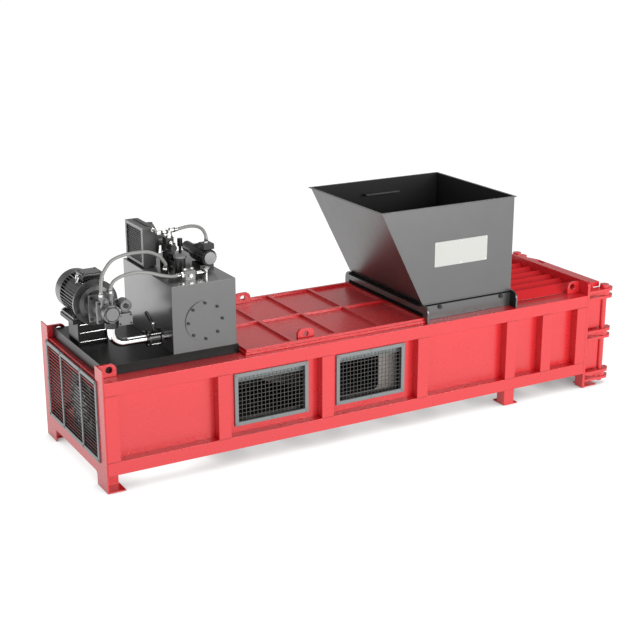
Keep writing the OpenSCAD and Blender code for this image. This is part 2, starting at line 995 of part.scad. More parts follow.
module cylinder_gland() {
    x1 = barrel_x0 + barrel_l;
    color(steel_grey) machine()
        difference() {
            union() {
                bar_x(x1, 0, ram_axis_z, gland_r, gland_t);
                bar_x(x1 - gland_spigot, 0, ram_axis_z, bore_d / 2 - slip, gland_spigot + over);
            }
            bar_x(x1 - gland_spigot - over, 0, ram_axis_z, rod_d / 2 + run, gland_spigot + gland_t + 2 * over);
        }
}

module piston_rod() {
    color(bright) machine() {
        bar_x(piston_x, 0, ram_axis_z, bore_d / 2 - piston_play, piston_t);
        bar_x(piston_x + piston_t, 0, ram_axis_z, rod_d / 2, rod_end_x - piston_x - piston_t);
    }
}

module rod_eye() {
    color(dark_grey) machine()
        difference() {
            union() {
                bar_y(rod_pin_x, -eye_w / 2, ram_axis_z, eye_r, eye_w);
                block(rod_end_x, rod_pin_x, -eye_w / 2, eye_w / 2, ram_axis_z - eye_shank_w / 2,
                    ram_axis_z + eye_shank_w / 2);
            }
            bar_y(rod_pin_x, -eye_w, ram_axis_z, rod_pin_d / 2 + run, 2 * eye_w);
        }
}

module rod_pin() {
    l = eye_w + 2 * (fork_gap + fork_t) + 2 * slip;
    color(steel_grey) machine() {
        bar_y(rod_pin_x, -l / 2, ram_axis_z, rod_pin_d / 2, l);
        bar_y(rod_pin_x, -l / 2 - pin_cap_t, ram_axis_z, pin_cap_r, pin_cap_t);
        bar_y(rod_pin_x, l / 2, ram_axis_z, pin_cap_r, pin_cap_t);
    }
}

// Welded ram: fork plates round the rod eye, rear wall, side walls with round-cornered windows, floor and
// roof, and two webs that carry the lid which shuts the feed opening as the ram advances
module ram_box() {
    y1 = ram_y;
    x1 = ram_face_x;
    xm = ram_x + ram_t;
    xf = ram_x + ram_t / 2;
    zw0 = ram_z0 + ram_window_rim;
    zw1 = ram_z1 - ram_window_top;
    xp = x1 - ram_window_back;
    color(steel_grey) machine() {
        both_sides() {
            difference() {
                wall_y(-eye_w / 2 - fork_gap - fork_t, -eye_w / 2 - fork_gap)
                    union() {
                        translate([rod_pin_x, ram_axis_z])
                            circle(fork_r);
                        polygon([[rod_pin_x, ram_axis_z - fork_r], [xf, ram_z0 + ram_t],
                            [xf, ram_z1 - ram_t], [rod_pin_x, ram_axis_z + fork_r]]);
                    }
                bar_y(rod_pin_x, -eye_w, ram_axis_z, rod_pin_d / 2 + run, eye_w);
            }
            difference() {
                block(xm, x1, -y1, -y1 + ram_t, ram_z0, ram_z1);
                wall_y(-y1 - over, -y1 + ram_t + over)
                    round_rect(xm + ram_window_rim / 2, xp, zw0, zw1, ram_window_round);
                wall_y(-y1 - over, -y1 + ram_t + over)
                    round_rect(xp + ram_post_w, x1 - ram_window_rim / 2, zw0, zw1, ram_window_round / 2);
            }
            block(ram_x, x1, -ram_web_y, -ram_web_y + ram_t, ram_z1, ram_top_z - ram_lid_t);
        }
        block(ram_x, xm, -y1, y1, ram_z0, ram_z1);
        block(xm, x1, -y1 + ram_t, y1 - ram_t, ram_z0, ram_z0 + ram_t);
        block(xm, x1, -y1 + ram_t, y1 - ram_t, ram_z1 - ram_t, ram_z1);
        block(ram_x - ram_lid_tail, x1, -chamber_y + pass, chamber_y - pass, ram_top_z - ram_lid_t, ram_top_z);
    }
}

module ram_face() {
    color(steel_grey) machine()
        block(ram_face_x, ram_face_x + ram_face_t, -chamber_y + pass, chamber_y - pass, ram_z0, ram_top_z);
}

module ram_knife() {
    x0 = ram_face_x + ram_face_t;
    color(bright) machine()
        block(x0, x0 + ram_knife_t, -chamber_y + pass, chamber_y - pass, ram_top_z - ram_knife_h, ram_top_z);
}

module ram_shoes() {
    color(bright) machine()
        both_sides()
            block(ram_x, ram_face_x + ram_face_t, -ram_y, -ram_y + shoe_w, ram_z0 - shoe_t, ram_z0);
}

// Upright pins with heads through the clevises: the hinge at the near side, the lock's pin at the far side
module hinge_pins() {
    head_z = clevis_z[2] + clevis_gap / 2 + clevis_t;
    color(red) machine()
        both_sides()
            translate([pin_front_x, -pin_y, 0]) {
                translate([0, 0, pin_low_z])
                    cylinder(d = pin_d, h = head_z - pin_low_z);
                translate([0, 0, head_z])
                    cylinder(d = pin_head_d, h = pin_head_h);
            }
}

// Plan of the door: flat towards the chamber, its outer side tapers to the lock's end
module door_plan() {
    polygon([[door_x, door_near_y], [door_x + door_mid_d, door_near_y],
        [door_x + door_mid_d, door_far_y - door_taper], [door_x + door_end_d, door_far_y], [door_x, door_far_y]]);
}

// Welded door: face plate, level plates and upright ribs, cut back round the clevises, with an ear in each
module door() {
    level_step = (door_top_z - door_z0 - door_t) / (door_level_count - 1);
    rib_step = (door_far_y - door_near_y - door_t) / door_rib_count;
    ear_h = clevis_gap - 2 * door_ear_play;
    notch_h = clevis_gap + 2 * clevis_t + 2 * pass;
    color(red) machine() {
        difference() {
            union() {
                block(door_x, door_x + door_t, door_near_y, door_far_y, door_z0, door_top_z);
                for (k = [0 : door_level_count - 1])
                    translate([0, 0, door_z0 + k * level_step])
                        linear_extrude(door_t)
                            door_plan();
                intersection() {
                    translate([0, 0, door_z0])
                        linear_extrude(door_top_z - door_z0)
                            door_plan();
                    for (k = [0 : door_rib_count])
                        block(door_x, door_x + door_mid_d, door_near_y + k * rib_step,
                            door_near_y + k * rib_step + door_t, door_z0, door_top_z);
                }
                for (k = [0, 1])
                    let (z = (clevis_z[k] + clevis_z[k + 1]) / 2)
                        block(door_x + door_t, pin_front_x - claw_nose - claw_pad_gap, pin_y - claw_reach,
                            pin_y - claw_reach + claw_nose_w, z - claw_t, z + claw_t);
            }
            for (z = clevis_z)
                translate([pin_front_x, -pin_y, z - notch_h / 2])
                    cylinder(r = door_notch_r, h = notch_h);
            translate([door_x + door_slot_x, door_slot_y, door_top_z - door_t - over])
                cube([door_slot_w, door_slot_l, door_t + 2 * over]);
        }
        for (z = clevis_z)
            translate([0, 0, z - ear_h / 2])
                linear_extrude(ear_h)
                    difference() {
                        union() {
                            translate([pin_front_x, -pin_y])
                                circle(door_ear_r);
                            polygon([[door_x + door_t / 2, door_near_y], [pin_front_x, -pin_y - door_ear_r],
                                [pin_front_x, -pin_y + door_ear_r], [door_x + door_mid_d, door_near_y + door_ear_l],
                                [door_x + door_t / 2, door_near_y + door_ear_l]]);
                        }
                        translate([pin_front_x, -pin_y])
                            circle(d = pin_d + 2 * run);
                    }
    }
}

// Claws that swing on the far pin, drawn open: two hubs between the clevises, each with a hooked arm, and a
// handle bar that joins them
module lock_claws() {
    color(red) machine()
        translate([pin_front_x, pin_y, 0]) {
            for (k = [0, 1])
                let (z0 = clevis_z[k] + clevis_gap / 2 + clevis_t + claw_play,
                     z1 = clevis_z[k + 1] - clevis_gap / 2 - clevis_t - claw_play,
                     zm = (z0 + z1) / 2)
                    difference() {
                        union() {
                            translate([0, 0, z0])
                                cylinder(r = claw_hub_r, h = z1 - z0);
                            block(0, claw_reach, -claw_arm_w / 2, claw_arm_w / 2, zm - claw_t / 2, zm + claw_t / 2);
                            block(claw_reach - claw_nose_w, claw_reach, -claw_nose, -claw_arm_w / 2 + over,
                                zm - claw_t / 2, zm + claw_t / 2);
                        }
                        translate([0, 0, z0 - over])
                            cylinder(d = pin_d + 2 * run, h = z1 - z0 + 2 * over);
                    }
            let (za = (clevis_z[0] + clevis_z[1]) / 2 + claw_t / 2,
                 zb = (clevis_z[1] + clevis_z[2]) / 2 - claw_t / 2)
                translate([claw_reach - claw_nose_w / 2, 0, za])
                    cylinder(d = claw_handle_d, h = zb - za);
        }
}

// End plate of the hopper base with rounded ears
module base_end(x) {
    wall_x(x, x + base_t)
        union() {
            translate([-base_ear_w / 2, deck_z])
                square([base_ear_w, feed_base_h - base_ear_round]);
            translate([-base_ear_w / 2 + base_ear_round, deck_z])
                square([base_ear_w - 2 * base_ear_round, feed_base_h]);
            for (s = [-1, 1])
                translate([s * (base_ear_w / 2 - base_ear_round), deck_z + feed_base_h - base_ear_round])
                    circle(base_ear_round);
        }
}

module hopper_base() {
    color(dark_grey) machine() {
        base_end(feed_x);
        base_end(feed_x + feed_l - base_t);
        both_sides()
            block(feed_x + base_t, feed_x + feed_l - base_t, -hopper_w / 2, -hopper_w / 2 + base_side_t,
                deck_z, hopper_z);
    }
}

module hopper_bolts() {
    color(dark_grey) machine()
        both_sides()
            for (x = [feed_x + base_t + hopper_bolt_inset, feed_x + feed_l - base_t - hopper_bolt_inset * 3 / 5])
                bar_y(x, -hopper_w / 2 - hopper_bolt_h, hopper_z - hopper_bolt_drop, hopper_bolt_d / 2,
                    hopper_bolt_h, 6);
}

// Side view of the hopper, moved in by a wall and drawn out past its top and bottom
module hopper_side(wall, z0, z1) {
    lean = hopper_lean / hopper_h;
    wall_x = wall * sqrt(1 + lean * lean);
    polygon([[hopper_x0 + wall_x - (z0 - hopper_z) * lean, z0], [hopper_x1 - wall, z0], [hopper_x1 - wall, z1],
        [hopper_x0 + wall_x - (z1 - hopper_z) * lean, z1]]);
}

module hopper() {
    z1 = hopper_z + hopper_h;
    y1 = hopper_w / 2;
    color(dark_grey) machine()
        difference() {
            union() {
                wall_y(-y1, y1)
                    hopper_side(0, hopper_z, z1);
                block(hopper_x0 - hopper_lean - rim_w, hopper_x1 + rim_w, -y1 - rim_w, y1 + rim_w, z1 - rim_t, z1);
            }
            wall_y(-y1 + hopper_t, y1 - hopper_t)
                hopper_side(hopper_t, hopper_z - over, z1 + over);
        }
}

// Stiffening ledge on the inside of the far wall
module hopper_ledge() {
    z1 = hopper_z + hopper_h - ledge_drop;
    y1 = hopper_w / 2 - hopper_t;
    x0 = (hopper_x0 + hopper_x1 - hopper_lean - ledge_l) / 2 + ledge_shift;
    color(dark_grey) machine()
        block(x0, x0 + ledge_l, y1 - ledge_d, y1, z1 - ledge_h, z1);
}

// Shallow base box of the power pack with a raised lip along its rear edge
module pack_tray() {
    color(black) machine() {
        difference() {
            block(pack_x, pack_x + pack_l, tray_y0, -tray_y0, pack_z, tray_z);
            block(pack_x + tray_wall, pack_x + pack_l - tray_wall, tray_y0 + tray_wall, -tray_y0 - tray_wall,
                pack_z - over, tray_z - tray_plate_t);
        }
        block(pack_x, pack_x + tray_wall, tray_y0 + tray_wall, -tray_y0 - tray_wall, tray_z, tray_z + tray_lip_h);
    }
}

module oil_tank() {
    color(steel_grey) machine() {
        difference() {
            block(tank_x0, tank_x1, tank_y0, tank_y1, tray_z, lid_z);
            block(tank_x0 + tank_t, tank_x1 - tank_t, tank_y0 + tank_t, tank_y1 - tank_t, tray_z + tank_t,
                lid_z + over);
            bar_y(cleanout_x, tank_y0 - over, cleanout_z, cleanout_bore_r, tank_t + 2 * over);
        }
        block(tank_x0, tank_x1, tank_y0, tank_y1, lid_z, tank_top_z);
    }
}

module cleanout_cover() {
    color(steel_grey) machine() {
        bar_y(cleanout_x, tank_y0 - cleanout_t, cleanout_z, cleanout_r, cleanout_t);
        for (k = [0 : 7])
            translate([cleanout_x, tank_y0 - cleanout_t - cleanout_bolt_h, cleanout_z])
                rotate([0, k * 360 / 8, 0])
                    bar_y(cleanout_bolt_r, 0, 0, cleanout_bolt_d / 2, cleanout_bolt_h, 6);
    }
}

// A pad bar under each row of the motor's feet, on an upright web
module motor_stand() {
    z1 = motor_z - motor_foot_drop;
    x1 = motor_foot_w / 2 + pad_over;
    y0 = motor_y + motor_foot_y + flange_t;
    color(black) machine()
        translate([motor_x, 0, 0])
            for (s = [0, 1])
                mirror([s, 0, 0]) {
                    block(motor_foot_in, x1, y0 - pad_over, y0 + motor_foot_l + pad_over, z1 - pad_t, z1);
                    block(x1 - stand_web_inset - stand_web_t, x1 - stand_web_inset, y0 + stand_web_in,
                        y0 + motor_foot_l, tray_z, z1 - pad_t);
                }
}

// Finned body with its flange, feet, terminal box and eye bolt
module motor_housing() {
    y0 = motor_y + flange_t;
    body_l = motor_l - flange_t - cowl_l;
    z1 = motor_z - motor_foot_drop;
    color(dark_grey) machine()
        difference() {
            union() {
                bar_y(motor_x, motor_y, motor_z, flange_r, flange_t);
                bar_y(motor_x, y0 + body_l - fin_t, motor_z, motor_r, fin_t);
                translate([motor_x, y0, motor_z])
                    rotate([-90, 0, 0])
                        linear_extrude(body_l)
                            union() {
                                circle(motor_r - fin_h);
                                for (k = [0 : fin_count - 1])
                                    rotate(k * 360 / fin_count)
                                        translate([0, -fin_t / 2])
                                            square([motor_r, fin_t]);
                            }
                translate([motor_x, y0 + motor_foot_y, z1])
                    for (s = [0, 1])
                        mirror([s, 0, 0]) {
                            block(motor_foot_in, motor_foot_w / 2, 0, motor_foot_l, 0, motor_foot_h);
                            block(motor_foot_in - motor_foot_h, motor_foot_in + motor_foot_h, 0, motor_foot_l, 0,
                                motor_foot_drop - motor_r / 2);
                        }
                block(motor_x + terminal_lean - terminal_w / 2, motor_x + terminal_lean + terminal_w / 2,
                    y0 + terminal_y, y0 + terminal_y + terminal_l, motor_z + motor_r / 2,
                    motor_z + motor_r + terminal_h);
                translate([motor_x - eye_bolt_x, y0 + terminal_y + terminal_l / 2, motor_z + motor_r])
                    rotate([90, 0, 90])
                        rotate_extrude()
                            translate([eye_bolt_r, 0])
                                circle(d = eye_bolt_d, $fn = 24);
            }
            bar_y(motor_x, motor_y - over, motor_z, shaft_r + run, motor_l);
        }
}

// Sheet cup over the fan with radial slots in its end
module motor_cowl() {
    y0 = motor_y + motor_l - cowl_l;
    color(dark_grey) machine()
        difference() {
            bar_y(motor_x, y0, motor_z, motor_r, cowl_l);
            bar_y(motor_x, y0 - over, motor_z, motor_r - cowl_t, cowl_l - cowl_t + over);
            for (k = [0 : cowl_slots - 1])
                translate([motor_x, y0, motor_z])
                    rotate([0, k * 360 / cowl_slots, 0])
                        block(fan_hub_r, fan_r, cowl_l / 2, cowl_l + over, -cowl_slot_w / 2, cowl_slot_w / 2);
        }
}

// Shaft with the cooling fan at its far end and the coupling to the pump at its near end
module motor_rotor() {
    fan_y = motor_y + motor_l - cowl_l + over;
    near_y = motor_y - pass - coupling_l;
    color(steel_grey) machine() {
        bar_y(motor_x, motor_y - pass - over, motor_z, shaft_r, fan_y - motor_y + pass + 2 * over);
        bar_y(motor_x, near_y, motor_z, coupling_r, coupling_l);
        bar_y(motor_x, near_y - stub_l, motor_z, stub_r, stub_l + over);
        bar_y(motor_x, fan_y, motor_z, fan_hub_r, fan_t);
        for (k = [0 : fan_blades - 1])
            translate([motor_x, fan_y, motor_z])
                rotate([0, (k + 1 / 2) * 360 / fan_blades, 0])
                    block(fan_hub_r - over, fan_r, over, fan_t - over, -fan_blade_t / 2, fan_blade_t / 2);
    }
}

// Bell between the motor flange and the pump's plate, turned about the motor axis
module bell_housing() {
    color(dark_grey) machine()
        translate([motor_x, motor_y, motor_z])
            rotate([90, 0, 0])
                rotate_extrude()
                    polygon([[bell_r - bell_t, 0], [bell_flange_r, 0], [bell_flange_r, bell_flange_t],
                        [bell_r, bell_flange_t + bell_t], [bell_r - bell_t, bell_l - bell_t],
                        [bell_r - bell_t, bell_l], [stub_r + run, bell_l], [stub_r + run, bell_l - bell_t],
                        [bell_r - 2 * bell_t, bell_l - bell_t], [bell_r - bell_t, bell_flange_t]]);
}

// Pump stack: square mounting plate, body, port plate with two hose bosses, end housing and cap, and the
// control block beside it
module oil_pump() {
    ya = motor_y - bell_l;
    yb = ya - plate_t;
    yc = yb - pump_l;
    yd = yc - port_t;
    ye = yd - pump_end_l;
    boss_z = motor_z + port_w / 2;
    color(dark_grey) machine()
        difference() {
            union() {
                block(motor_x - plate_w / 2, motor_x + plate_w / 2, yb, ya, motor_z - plate_w / 2,
                    motor_z + plate_w / 2);
                bar_y(motor_x, yc, motor_z, pump_r, pump_l);
                block(motor_x - port_w / 2, motor_x + port_w / 2, yd, yc, motor_z - port_w / 2,
                    motor_z + port_w / 2);
                bar_y(motor_x, ye, motor_z, pump_end_r, pump_end_l);
                bar_y(motor_x, ye - pump_cap_t, motor_z, pump_cap_r, pump_cap_t);
                block(motor_x + suction_collar_r + pass, motor_x + pump_end_r + control_w, ye + pump_cap_t,
                    ye + pump_cap_t + control_d, motor_z - control_h, motor_z - control_h / 8);
                bar_y(motor_x + pump_end_r + control_lobe_r, ye + pump_cap_t, motor_z + control_lobe_r,
                    control_lobe_r, control_lobe_l);
                translate([pressure_route[0][0], pressure_route[0][1], motor_z])
                    cylinder(r = port_boss_r, h = pressure_route[0][2] - motor_z - fitting_hex_l);
                translate([control_route[0][0], control_route[0][1], motor_z])
                    cylinder(r = port_boss_r, h = control_route[0][2] - motor_z - fitting_hex_l);
                for (p = [pressure_route[0], control_route[0]])
                    translate([p[0], p[1], p[2] - fitting_hex_l])
                        cylinder(r = fitting_hex_r, h = fitting_hex_l, $fn = 6);
            }
            bar_y(motor_x, yb - pump_l / 2, motor_z, stub_r + run, pump_l);
        }
}

// Suction pipe from the pump's underside: collar, quarter bend, run to the valve, and the stub to the tank
module suction_line() {
    y = suction_y;
    z = motor_z - suction_drop;
    za = motor_z - pump_end_r + over;
    xv = motor_x + valve_x0;
    r = suction_d / 2;
    color(bright) machine() {
        translate([motor_x, y, za - suction_collar_h - over])
            difference() {
                cylinder(r = suction_collar_r, h = suction_collar_h);
                translate([0, 0, -over])
                    cylinder(r = r - suction_wall, h = suction_collar_h - over);
            }
        translate([motor_x, y, z + suction_bend])
            difference() {
                cylinder(r = r, h = za - suction_collar_h - over - z - suction_bend);
                translate([0, 0, -over])
                    cylinder(r = r - suction_wall, h = suction_drop);
            }
        translate([motor_x + suction_bend, y, z + suction_bend])
            rotate([90, 0, 0])
                rotate(180)
                    rotate_extrude(angle = 90)
                        translate([suction_bend, 0])
                            difference() {
                                circle(r);
                                circle(r - suction_wall);
                            }
        difference() {
            bar_x(motor_x + suction_bend, y, z, r, valve_x0 - suction_bend);
            bar_x(motor_x + suction_bend - over, y, z, r - suction_wall, valve_x0);
        }
        difference() {
            union() {
                bar_x(xv, y, z, valve_flange_r, valve_flange_t);
                bar_x(xv + valve_flange_t, y, z, valve_r, valve_l);
                bar_x(xv + valve_l, y, z, valve_flange_r, valve_flange_t);
                translate([xv + valve_l / 2 + valve_flange_t / 2, y, z])
                    cylinder(r = stem_r, h = valve_r + stem_h);
            }
            bar_x(xv - over, y, z, r - suction_wall, valve_flange_t + over);
        }
        bar_x(xv + valve_l + valve_flange_t, y, z, r, tank_x0 - xv - valve_l - valve_flange_t);
    }
}

// Hand lever on the valve's stem
module valve_lever() {
    y = suction_y;
    z = motor_z - suction_drop + valve_r + stem_h - lever_hub_h;
    x = motor_x + valve_x0 + valve_l / 2 + valve_flange_t / 2;
    color(black) machine()
        translate([x, y, z])
            difference() {
                union() {
                    cylinder(r = lever_hub_r, h = lever_hub_h);
                    translate([-lever_w / 2, 0, lever_hub_h / 2])
                        rotate([24, 0, 0])
                            cube([lever_w, lever_l, lever_t]);
                }
                translate([0, 0, -over])
                    cylinder(r = stem_r + run, h = lever_hub_h + lever_l);
            }
}

// Return filter, breather, valve stack, inlet block and line fittings on the tank's lid
module tank_fittings() {
    z0 = tank_top_z;
    hose_in = control_route[len(control_route) - 1];
    hose_down = pressure_route[len(pressure_route) - 1];
    hose_over = cooler_route[0];
    stack_top = z0 + stack_heights[0] + stack_heights[1] + stack_heights[2] + stack_heights[3];
    color(steel_grey) machine() {
        translate([tank_x0 + filter_x, filter_y, z0]) {
            cylinder(r = filter_r, h = filter_h);
            translate([0, 0, filter_h])
                cylinder(r = filter_cap_r, h = filter_cap_h);
        }
        translate([tank_x0 + breather_x, breather_y, z0]) {
            cylinder(r = breather_neck_r, h = breather_neck_h);
            translate([0, 0, breather_neck_h])
                cylinder(r = breather_r, h = breather_h);
        }
        for (k = [0 : len(stack_heights) - 1])
            let (below = k == 0 ? 0 : k == 1 ? stack_heights[0] : k == 2 ? stack_heights[0] + stack_heights[1]
                    : stack_heights[0] + stack_heights[1] + stack_heights[2],
                 w = stack_w * stack_width_shares[k])
                translate([tank_x0 + stack_x - w / 2, stack_y - w / 2, z0 + below])
                    cube([w, w, stack_heights[k]]);
        for (k = [1, 2])
            bar_y(tank_x0 + stack_x, stack_y - stack_w * stack_width_shares[k] / 2 - coil_l,
                z0 + stack_heights[0] + (k - 1 / 2) * stack_heights[1], coil_r, coil_l);
        bar_x(tank_x0 + stack_x, hose_over[1], hose_over[2], fitting_r, hose_over[0] - tank_x0 - stack_x);
        translate([tank_x0 + stack_x, hose_over[1], stack_top])
            cylinder(r = fitting_r, h = hose_over[2] - stack_top);
        translate([hose_in[0] + fitting_hex_l, hose_in[1] - block_d / 2, z0])
            cube([block_w, block_d, block_h]);
        bar_x(hose_in[0], hose_in[1], hose_in[2], fitting_hex_r, fitting_hex_l, 6);
        bar_x(hose_in[0] + fitting_hex_l + block_w, hose_in[1], hose_in[2], line_pipe_r, line_pipe_l);
        translate([hose_in[0] + fitting_hex_l + block_w + line_pipe_l, hose_in[1], z0])
            cylinder(r = fitting_r, h = hose_in[2] - z0 + fitting_r);
        translate([hose_down[0], hose_down[1], z0])
            cylinder(r = fitting_hex_r, h = hose_down[2] - z0, $fn = 6);
    }
}

// Small motor with a finned body and terminal box on a foot, and the gear pump on its far end
module circulation_pump() {
    x = tank_x0 + circ_x;
    z = tank_top_z + circ_axis_h;
    box_top = cooler_route[len(cooler_route) - 1];
    color(black) machine() {
        translate([x, circ_y, z])
            rotate([-90, 0, 0])
                linear_extrude(circ_l)
                    union() {
                        circle(circ_r - circ_fin_h);
                        for (k = [0 : circ_fin_count - 1])
                            rotate(k * 360 / circ_fin_count)
                                translate([0, -circ_fin_t / 2])
                                    square([circ_r, circ_fin_t]);
                    }
        bar_y(x, circ_y - circ_cap_t, z, circ_cap_r, circ_cap_t);
        bar_y(x, circ_y + circ_l, z, circ_neck_r, circ_neck_l);
        block(x - circ_box_w / 2, x + circ_box_w / 2, box_top[1] - circ_box_l / 2, box_top[1] + circ_box_l / 2,
            z + circ_r, box_top[2]);
        block(x - circ_foot_w / 2, x + circ_foot_w / 2, circ_y + circ_l / 5, circ_y + circ_l / 5 + circ_foot_l,
            tank_top_z, z - circ_r);
    }
}

// Core frame with flat tubes and fins between them
module cooler_core() {
    x0 = tank_x0 + cooler_x;
    z0 = tank_top_z + cooler_z;
    rows = floor((cooler_h - 2 * cooler_rim) / cooler_fin_pitch);
    color(steel_grey) machine() {
        difference() {
            block(x0, x0 + cooler_core_d, cooler_y, cooler_y + cooler_w, z0, z0 + cooler_h);
            block(x0 - over, x0 + cooler_core_d + over, cooler_y + cooler_rim, cooler_y + cooler_w - cooler_rim,
                z0 + cooler_rim, z0 + cooler_h - cooler_rim);
        }
        for (k = [0 : rows - 1])
            let (z = z0 + cooler_rim + (k + 1 / 2) * (cooler_h - 2 * cooler_rim) / rows)
                block(x0 + cooler_fin_t, x0 + cooler_core_d - cooler_fin_t, cooler_y + cooler_rim,
                    cooler_y + cooler_w - cooler_rim, z - cooler_tube_d / 2, z + cooler_tube_d / 2);
        for (s = [0, 1])
            block(x0, x0 + cooler_core_d, s > 0 ? cooler_y + cooler_w - cooler_rim : cooler_y,
                s > 0 ? cooler_y + cooler_w : cooler_y + cooler_rim, tank_top_z, z0);
    }
}

// Box behind the core, with a round fan ring, and the fan's motor on spokes
module cooler_shroud() {
    x0 = tank_x0 + cooler_x + cooler_core_d;
    x1 = x0 + cooler_box_d;
    x2 = x1 + cooler_ring_d;
    y = cooler_y + cooler_w / 2;
    z = tank_top_z + cooler_z + cooler_h / 2;
    color(dark_grey) machine() {
        difference() {
            union() {
                block(x0, x1, cooler_y, cooler_y + cooler_w, z - cooler_h / 2, z + cooler_h / 2);
                bar_x(x1, y, z, cooler_ring_r, cooler_ring_d);
            }
            block(x0 - over, x1 - cooler_ring_t, cooler_y + cooler_ring_t, cooler_y + cooler_w - cooler_ring_t,
                z - cooler_h / 2 + cooler_ring_t, z + cooler_h / 2 - cooler_ring_t);
            bar_x(x0, y, z, cooler_ring_r - cooler_ring_t, cooler_box_d + cooler_ring_d + over);
        }
        difference() {
            union() {
                bar_x(x2, y, z, cooler_motor_r, cooler_motor_l);
                for (k = [0 : 3])
                    translate([x2, y, z])
                        rotate([k * 90, 0, 0])
                            block(0, cooler_spoke_t, 0, cooler_ring_r, -cooler_spoke_w / 2, cooler_spoke_w / 2);
            }
            bar_x(x2 - over, y, z, cooler_shaft_r + run, cooler_motor_l);
        }
    }
}

// Axial fan with pitched blades on its shaft
module cooler_fan() {
    x1 = tank_x0 + cooler_x + cooler_core_d + cooler_box_d;
    y = cooler_y + cooler_w / 2;
    z = tank_top_z + cooler_z + cooler_h / 2;
    blade_l = cooler_ring_r - cooler_ring_t - cooler_fan_play;
    hub_x = x1 + cooler_fan_play;
    hub_l = cooler_ring_d - 2 * cooler_fan_play;
    color(black) machine()
        union() {
            bar_x(hub_x, y, z, cooler_hub_r, hub_l);
            bar_x(hub_x, y, z, cooler_shaft_r, cooler_ring_d + cooler_motor_l / 2);
            intersection() {
                bar_x(hub_x, y, z, blade_l, hub_l);
                for (k = [0 : cooler_blades - 1])
                    translate([hub_x + hub_l / 2, y, z])
                        rotate([k * 360 / cooler_blades, 0, 0])
                            rotate([0, 0, 90 - cooler_pitch_deg])
                                translate([-cooler_blade_w / 2, -cooler_blade_t / 2, cooler_hub_r / 2])
                                    cube([cooler_blade_w, cooler_blade_t, blade_l]);
            }
        }
}

// Point on a smooth curve through four route points, at a share of the middle stretch
function curve_point(a, b, c, d, share) =
    let (s2 = share * share, s3 = s2 * share)
        (2 * b + (c - a) * share + (2 * a - 5 * b + 4 * c - d) * s2 + (3 * b - a - 3 * c + d) * s3) / 2;

// Route with extra points between its own, and the first and last kept
function smooth_route(p, steps) =
    let (n = len(p))
        [for (i = [0 : n - 2], k = [0 : steps - 1])
            curve_point(p[max(i - 1, 0)], p[i], p[i + 1], p[min(i + 2, n - 1)], k / steps), p[n - 1]];

// Direction of a route at one of its points
function heading(p, i) =
    let (a = p[max(i - 1, 0)], b = p[min(i + 1, len(p) - 1)], v = i == 0 ? p[1] - p[0] : b - a)
        v / norm(v);

// One ring of a tube's points about a route point; no route runs along y, so y sets the ring's sides
function ring(p, i, r, sides) =
    let (t = heading(p, i), side = cross([0, 1, 0], t), u = side / norm(side), v = cross(t, u))
        [for (k = [0 : sides - 1]) p[i] + r * (cos(k * 360 / sides) * u + sin(k * 360 / sides) * v)];

module hose(route) {
    p = smooth_route(route, hose_steps);
    n = len(p);
    s = hose_sides;
    points = [for (i = [0 : n - 1]) each ring(p, i, hose_d / 2, s)];
    walls = [for (i = [0 : n - 2], k = [0 : s - 1])
        [i * s + k, (i + 1) * s + k, (i + 1) * s + (k + 1) % s, i * s + (k + 1) % s]];
    first = [for (k = [0 : s - 1]) k];
    last = [for (k = [0 : s - 1]) n * s - 1 - k];
    polyhedron(points = points, faces = concat([first], walls, [last]));
}

module pressure_hose() {
    color(hose_grey) machine()
        hose(pressure_route);
}

module control_hose() {
    color(hose_grey) machine()
        hose(control_route);
}

module cooler_hose() {
    color(hose_grey) machine()
        hose(cooler_route);
}

rear_end_plate();
rear_grille_frame();
rear_grille_slats();
side_rails();
side_posts();
cross_rails();
near_side_panels();
far_side_panels();
side_liners();
chamber_floor();
roof_plate();
roof_beams();
front_end_plate();
door_clevises();
base_feet();
end_lugs();
cover_lugs();
deck_cover();
guard_frames();
guard_meshes();
ram_guides();
fixed_knife();
cylinder_mount();
cylinder_barrel();
cylinder_cap();
cap_bolts();
cylinder_gland();
piston_rod();
rod_eye();
rod_pin();
ram_box();
ram_face();
ram_knife();
ram_shoes();
hinge_pins();
door();
lock_claws();
hopper_base();
hopper_bolts();
hopper();
hopper_ledge();
pack_tray();
oil_tank();
cleanout_cover();
motor_stand();
motor_housing();
motor_cowl();
motor_rotor();
bell_housing();
oil_pump();
suction_line();
valve_lever();
tank_fittings();
circulation_pump();
cooler_core();
cooler_shroud();
cooler_fan();
pressure_hose();
control_hose();
cooler_hose();
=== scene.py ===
import bmesh
import bpy
from math import cos, pi, radians, sin
from mathutils import Matrix, Vector


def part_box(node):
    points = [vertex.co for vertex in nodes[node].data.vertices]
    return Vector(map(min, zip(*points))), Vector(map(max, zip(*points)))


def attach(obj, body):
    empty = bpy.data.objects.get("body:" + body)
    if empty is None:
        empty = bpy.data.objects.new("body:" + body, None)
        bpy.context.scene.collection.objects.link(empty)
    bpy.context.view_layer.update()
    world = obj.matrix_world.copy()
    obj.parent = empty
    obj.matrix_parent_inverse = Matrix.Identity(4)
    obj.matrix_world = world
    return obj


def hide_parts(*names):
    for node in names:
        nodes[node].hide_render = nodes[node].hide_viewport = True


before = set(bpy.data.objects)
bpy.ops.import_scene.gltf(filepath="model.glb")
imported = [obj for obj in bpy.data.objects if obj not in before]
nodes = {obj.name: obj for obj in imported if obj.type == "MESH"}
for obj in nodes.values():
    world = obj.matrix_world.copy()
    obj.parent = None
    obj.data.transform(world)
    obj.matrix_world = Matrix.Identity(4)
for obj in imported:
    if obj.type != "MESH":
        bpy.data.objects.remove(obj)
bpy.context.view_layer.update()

# Camera
# A long lens at head height off the grille end, on the side with the window guards.
# Its place was found from the frame's parallel edges; the row's middle is 2325 mm from the rear plate.
MIDDLE = 2325


